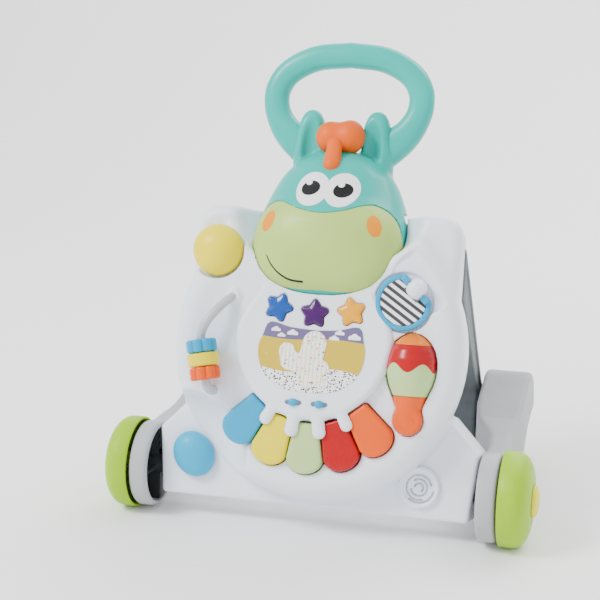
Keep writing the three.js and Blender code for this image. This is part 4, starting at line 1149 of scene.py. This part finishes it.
def drum_hub_field(x, y, z):
    """The bearing tube and its webs inside the front of the arm; they are drawn near-black as painted shade
    for the arm's hollow inside.
    """
    across = length(y, z - WHEEL["r"])
    tube = plate(across - 9, x, 160, 184, 1)
    webs = [np.abs(y) - 1.2, np.abs(z - WHEEL["r"]) - 1.2]
    web = np.maximum(np.maximum(np.minimum(*webs), across - 39), np.abs(x - 176) - 8)
    return np.maximum(fuse(tube, web, 1.5), 4.4 - across)


def leg_field(x, y, z):
    slope = math.radians(90 - LEAN)
    back = -43.9

    def rear_face(v):
        return (FOOT_EDGE[0] + v * math.cos(slope) - back * math.sin(slope),
                FOOT_EDGE[1] + v * math.sin(slope) + back * math.cos(slope))

    outline = [rear_face(219), (HUB["y"] - 12.6, HUB["z"] + 13),
               (HUB["y"] + 19, HUB["z"] + 18), rear_face(270)]
    hub = length(y - HUB["y"], z - HUB["z"])
    lobe = length(y - HUB["y"], z - HUB["z"] + 9) - 35
    flat = fuse(polygon(y, z, outline), lobe, 10)
    leg = plate(flat, x, LEG["inner"], LEG["outer"] - 5.4, 3)
    leg = carve(leg, plate(flat + 8, x, LEG["outer"] - 6.8, LEG["outer"] + 9, 1), 1)
    return carve(leg, hub - 16.4, 0)


def hub_field(x, y, z):
    across = length(y - HUB["y"], z - HUB["z"])
    flange = plate(across - HUB["r"], x, LEG["outer"] - 5, ARM["rear_inner"] - 0.3, 1.5)
    hub = fuse(flange, plate(across - 16, x, LEG["inner"], ARM["rear_inner"] - 2, 1.5))
    return carve(hub, plate(across - 11, x, LEG["inner"] - 9, LEG["inner"] + 6, 1.5), 1)


def front_wheel_profile():
    r, inner, outer = WHEEL["r"], WHEEL["inner"], WHEEL["outer"]
    edge = inner + 13
    outside = [(17 + (r - 17) * math.cos(a) ** 0.9, edge + (outer - edge) * math.sin(a))
               for a in np.linspace(0, math.pi / 2 - 0.001, 26)]
    inside = [(17 + (r - 3 - 17) * math.cos(a), edge + (outer - 3 - edge) * math.sin(a))
              for a in np.linspace(math.pi / 2 - 0.1, 0, 14)]
    return [(4.3, inner), (9, inner), (9, outer - 4), *inside, (r - 3, inner + 1), (r - 2, inner),
            (r - 1, inner), (r, inner + 1), *outside, (16.4, outer - 0.6), (4.3, outer - 0.6)]


def rear_wheel_profile():
    r, inner, outer = REAR_WHEEL["r"], REAR_WHEEL["inner"], REAR_WHEEL["outer"]
    corners = [(3.6, inner), (10, inner), (12, inner + 5), (r - 6, inner + 5), (r - 4, inner), (r, inner),
               (r, outer), (r - 6, outer), (r - 9, outer - 3), (12, outer - 3), (9, outer), (3.6, outer)]
    return soften(corners, 1.6)


def cap_profile():
    base = WHEEL["outer"] - 0.5
    return [(0, base), (14.5, base), (16, base + 0.9), (15.9, base + 2)] + [
        (15.6 * math.cos(a), base + 2 + 4.5 * math.sin(a)) for a in np.linspace(0.15, math.pi / 2 - 0.001, 16)
    ] + [(0, base + 6.5)]


def rolling_pieces():
    along_x = Matrix.Rotation(math.pi / 2, 4, "Y")
    arm = mesh_field(arm_field, (133, -50, -1), (191, 258, 122), 1.3)
    inside = mesh_field(drum_hub_field, (157, -42, 4), (187, 42, 90), 0.9)
    leg = mesh_field(leg_field, (100, 60, 18), (140, 252, 275), 1.2)
    hub = mesh_field(hub_field, (101, 180, 36), (140, 240, 96), 0.9)
    bar = mesh_field(crossbar_field, (-106, 120, 155), (106, 170, 200), 1.2)
    make("rear_bar", bar, WALKER, DARK_GRAY, stands_for=["rear_crossbar"])
    for side, sign in (("right", 1), ("left", -1)):
        place = WALKER @ Matrix.Diagonal((sign, 1, 1, 1))
        front = place @ Matrix.Translation((0, 0, WHEEL["r"])) @ along_x
        rear = place @ Matrix.Translation((0, REAR_WHEEL["y"], REAR_WHEEL["r"])) @ along_x
        make(f"arm_{side}", arm, place, GRAY, stands_for=[f"side_arm_{side}"])
        # Near-black bearing: painted shade for the dark hollow inside the arm's front lobe.
        make(f"arm_bearing_painted_shade_{side}", inside, place, BLACK_RUBBER_AND_SHADE)
        make(f"leg_{side}", leg, place, DARK_GRAY, stands_for=[f"rear_leg_{side}"])
        make(f"leg_joint_{side}", hub, place, HUB_BLUE, stands_for=[f"leg_hub_{side}"])
        make(f"front_tyre_{side}", lathe(front_wheel_profile(), 128, closed=True), front, LIME,
             f"front_wheel_{side}", stands_for=[f"front_wheel_{side}"])
        make(f"wheel_cap_{side}", lathe(cap_profile()), front, CAP_YELLOW,
             f"front_wheel_{side}", [f"hub_cap_{side}"])
        make(f"rear_tyre_{side}", lathe(rear_wheel_profile(), 96, closed=True), rear, LIME,
             f"rear_wheel_{side}", stands_for=[f"rear_wheel_{side}"])
        paint(f"front_axle_{side}", STEEL)
        paint(f"rear_axle_{side}", STEEL)


def crossbar_field(x, y, z):
    """The bar between the rear legs, turned to lie along them."""
    a, b = turn_about(y - CROSSBAR["y"], z - CROSSBAR["z"], -CROSSBAR["slope"])
    flat = np.maximum(np.abs(a) - 15, np.abs(b) - 7)
    return plate(flat, x, -CROSSBAR["half"], CROSSBAR["half"], 2.2)


# ---- Camera, lights and floor ----------------------------------------------------------------------
def camera():
    data = bpy.data.cameras.new("camera")
    data.lens = 87
    data.sensor_width = 36
    data.clip_end = 20
    view = bpy.data.objects.new("camera", data)
    bpy.context.scene.collection.objects.link(view)
    view.location = (0.3606, -1.4195, 0.5740)
    view.rotation_euler = Vector((-0.2666, 0.9328, -0.2424)).to_track_quat("-Z", "Y").to_euler()
    bpy.context.scene.camera = view


def lamp(name, place, target, size, power, colour=(1, 1, 1)):
    data = bpy.data.lights.new(name, "AREA")
    data.shape = "RECTANGLE"
    data.size, data.size_y = size
    data.energy = power
    data.color = colour
    light = bpy.data.objects.new(name, data)
    bpy.context.scene.collection.objects.link(light)
    light.location = place
    light.rotation_euler = (Vector(target) - Vector(place)).to_track_quat("-Z", "Y").to_euler()


def studio():
    world = bpy.data.worlds.new("studio")
    bpy.context.scene.world = world
    world.use_nodes = True
    world.node_tree.nodes["Background"].inputs["Color"].default_value = (1, 1, 1, 1)
    world.node_tree.nodes["Background"].inputs["Strength"].default_value = 1.35
    lamp("key", (-1.5, -1.3, 2.0), (0, 0, 0.25), (0.8, 0.8), 72)
    lamp("back", (0.6, 1.6, 1.9), (0, 0.9, 0.4), (2.4, 1.2), 60)
    mesh = bpy.data.meshes.new("floor")
    turn = [(1.2 + 0.8 * math.sin(a), 0.8 - 0.8 * math.cos(a)) for a in np.linspace(0.1, 1.57, 16)]
    run = [(-3, 0), (1.2, 0), *turn, (2, 4)]
    mesh.from_pydata(
        [(side * 5, y, z) for y, z in run for side in (-1, 1)], [],
        [(2 * i, 2 * i + 1, 2 * i + 3, 2 * i + 2) for i in range(len(run) - 1)])
    mesh.polygons.foreach_set("use_smooth", [True] * len(mesh.polygons))
    floor = bpy.data.objects.new("floor", mesh)
    bpy.context.scene.collection.objects.link(floor)
    build = Nodes("floor")
    build.link(build.ramp(build.noise(3, 2), 0.6, 0.7), build.shader.inputs["Roughness"])
    build.shader.inputs["Base Color"].default_value = (0.93, 0.93, 0.93, 1)
    mesh.materials.append(build.material)


def inner_pieces():
    for node, material in (
        ("circuit_board", CIRCUIT), ("key_membrane", BLACK_RUBBER_AND_SHADE), ("speaker_driver", BLACK_RUBBER_AND_SHADE),
        ("battery_1", WRAP), ("battery_2", WRAP), ("battery_screw", STEEL), ("maraca_pin", STEEL),
        ("flap_pin", STEEL), ("mirror_disc", STEEL),
    ):
        paint(node, material)


camera()
studio()
panel_pieces()
bib_pieces()
key_pieces()
toy_pieces()
label_pieces()
head_pieces()
rolling_pieces()
inner_pieces()
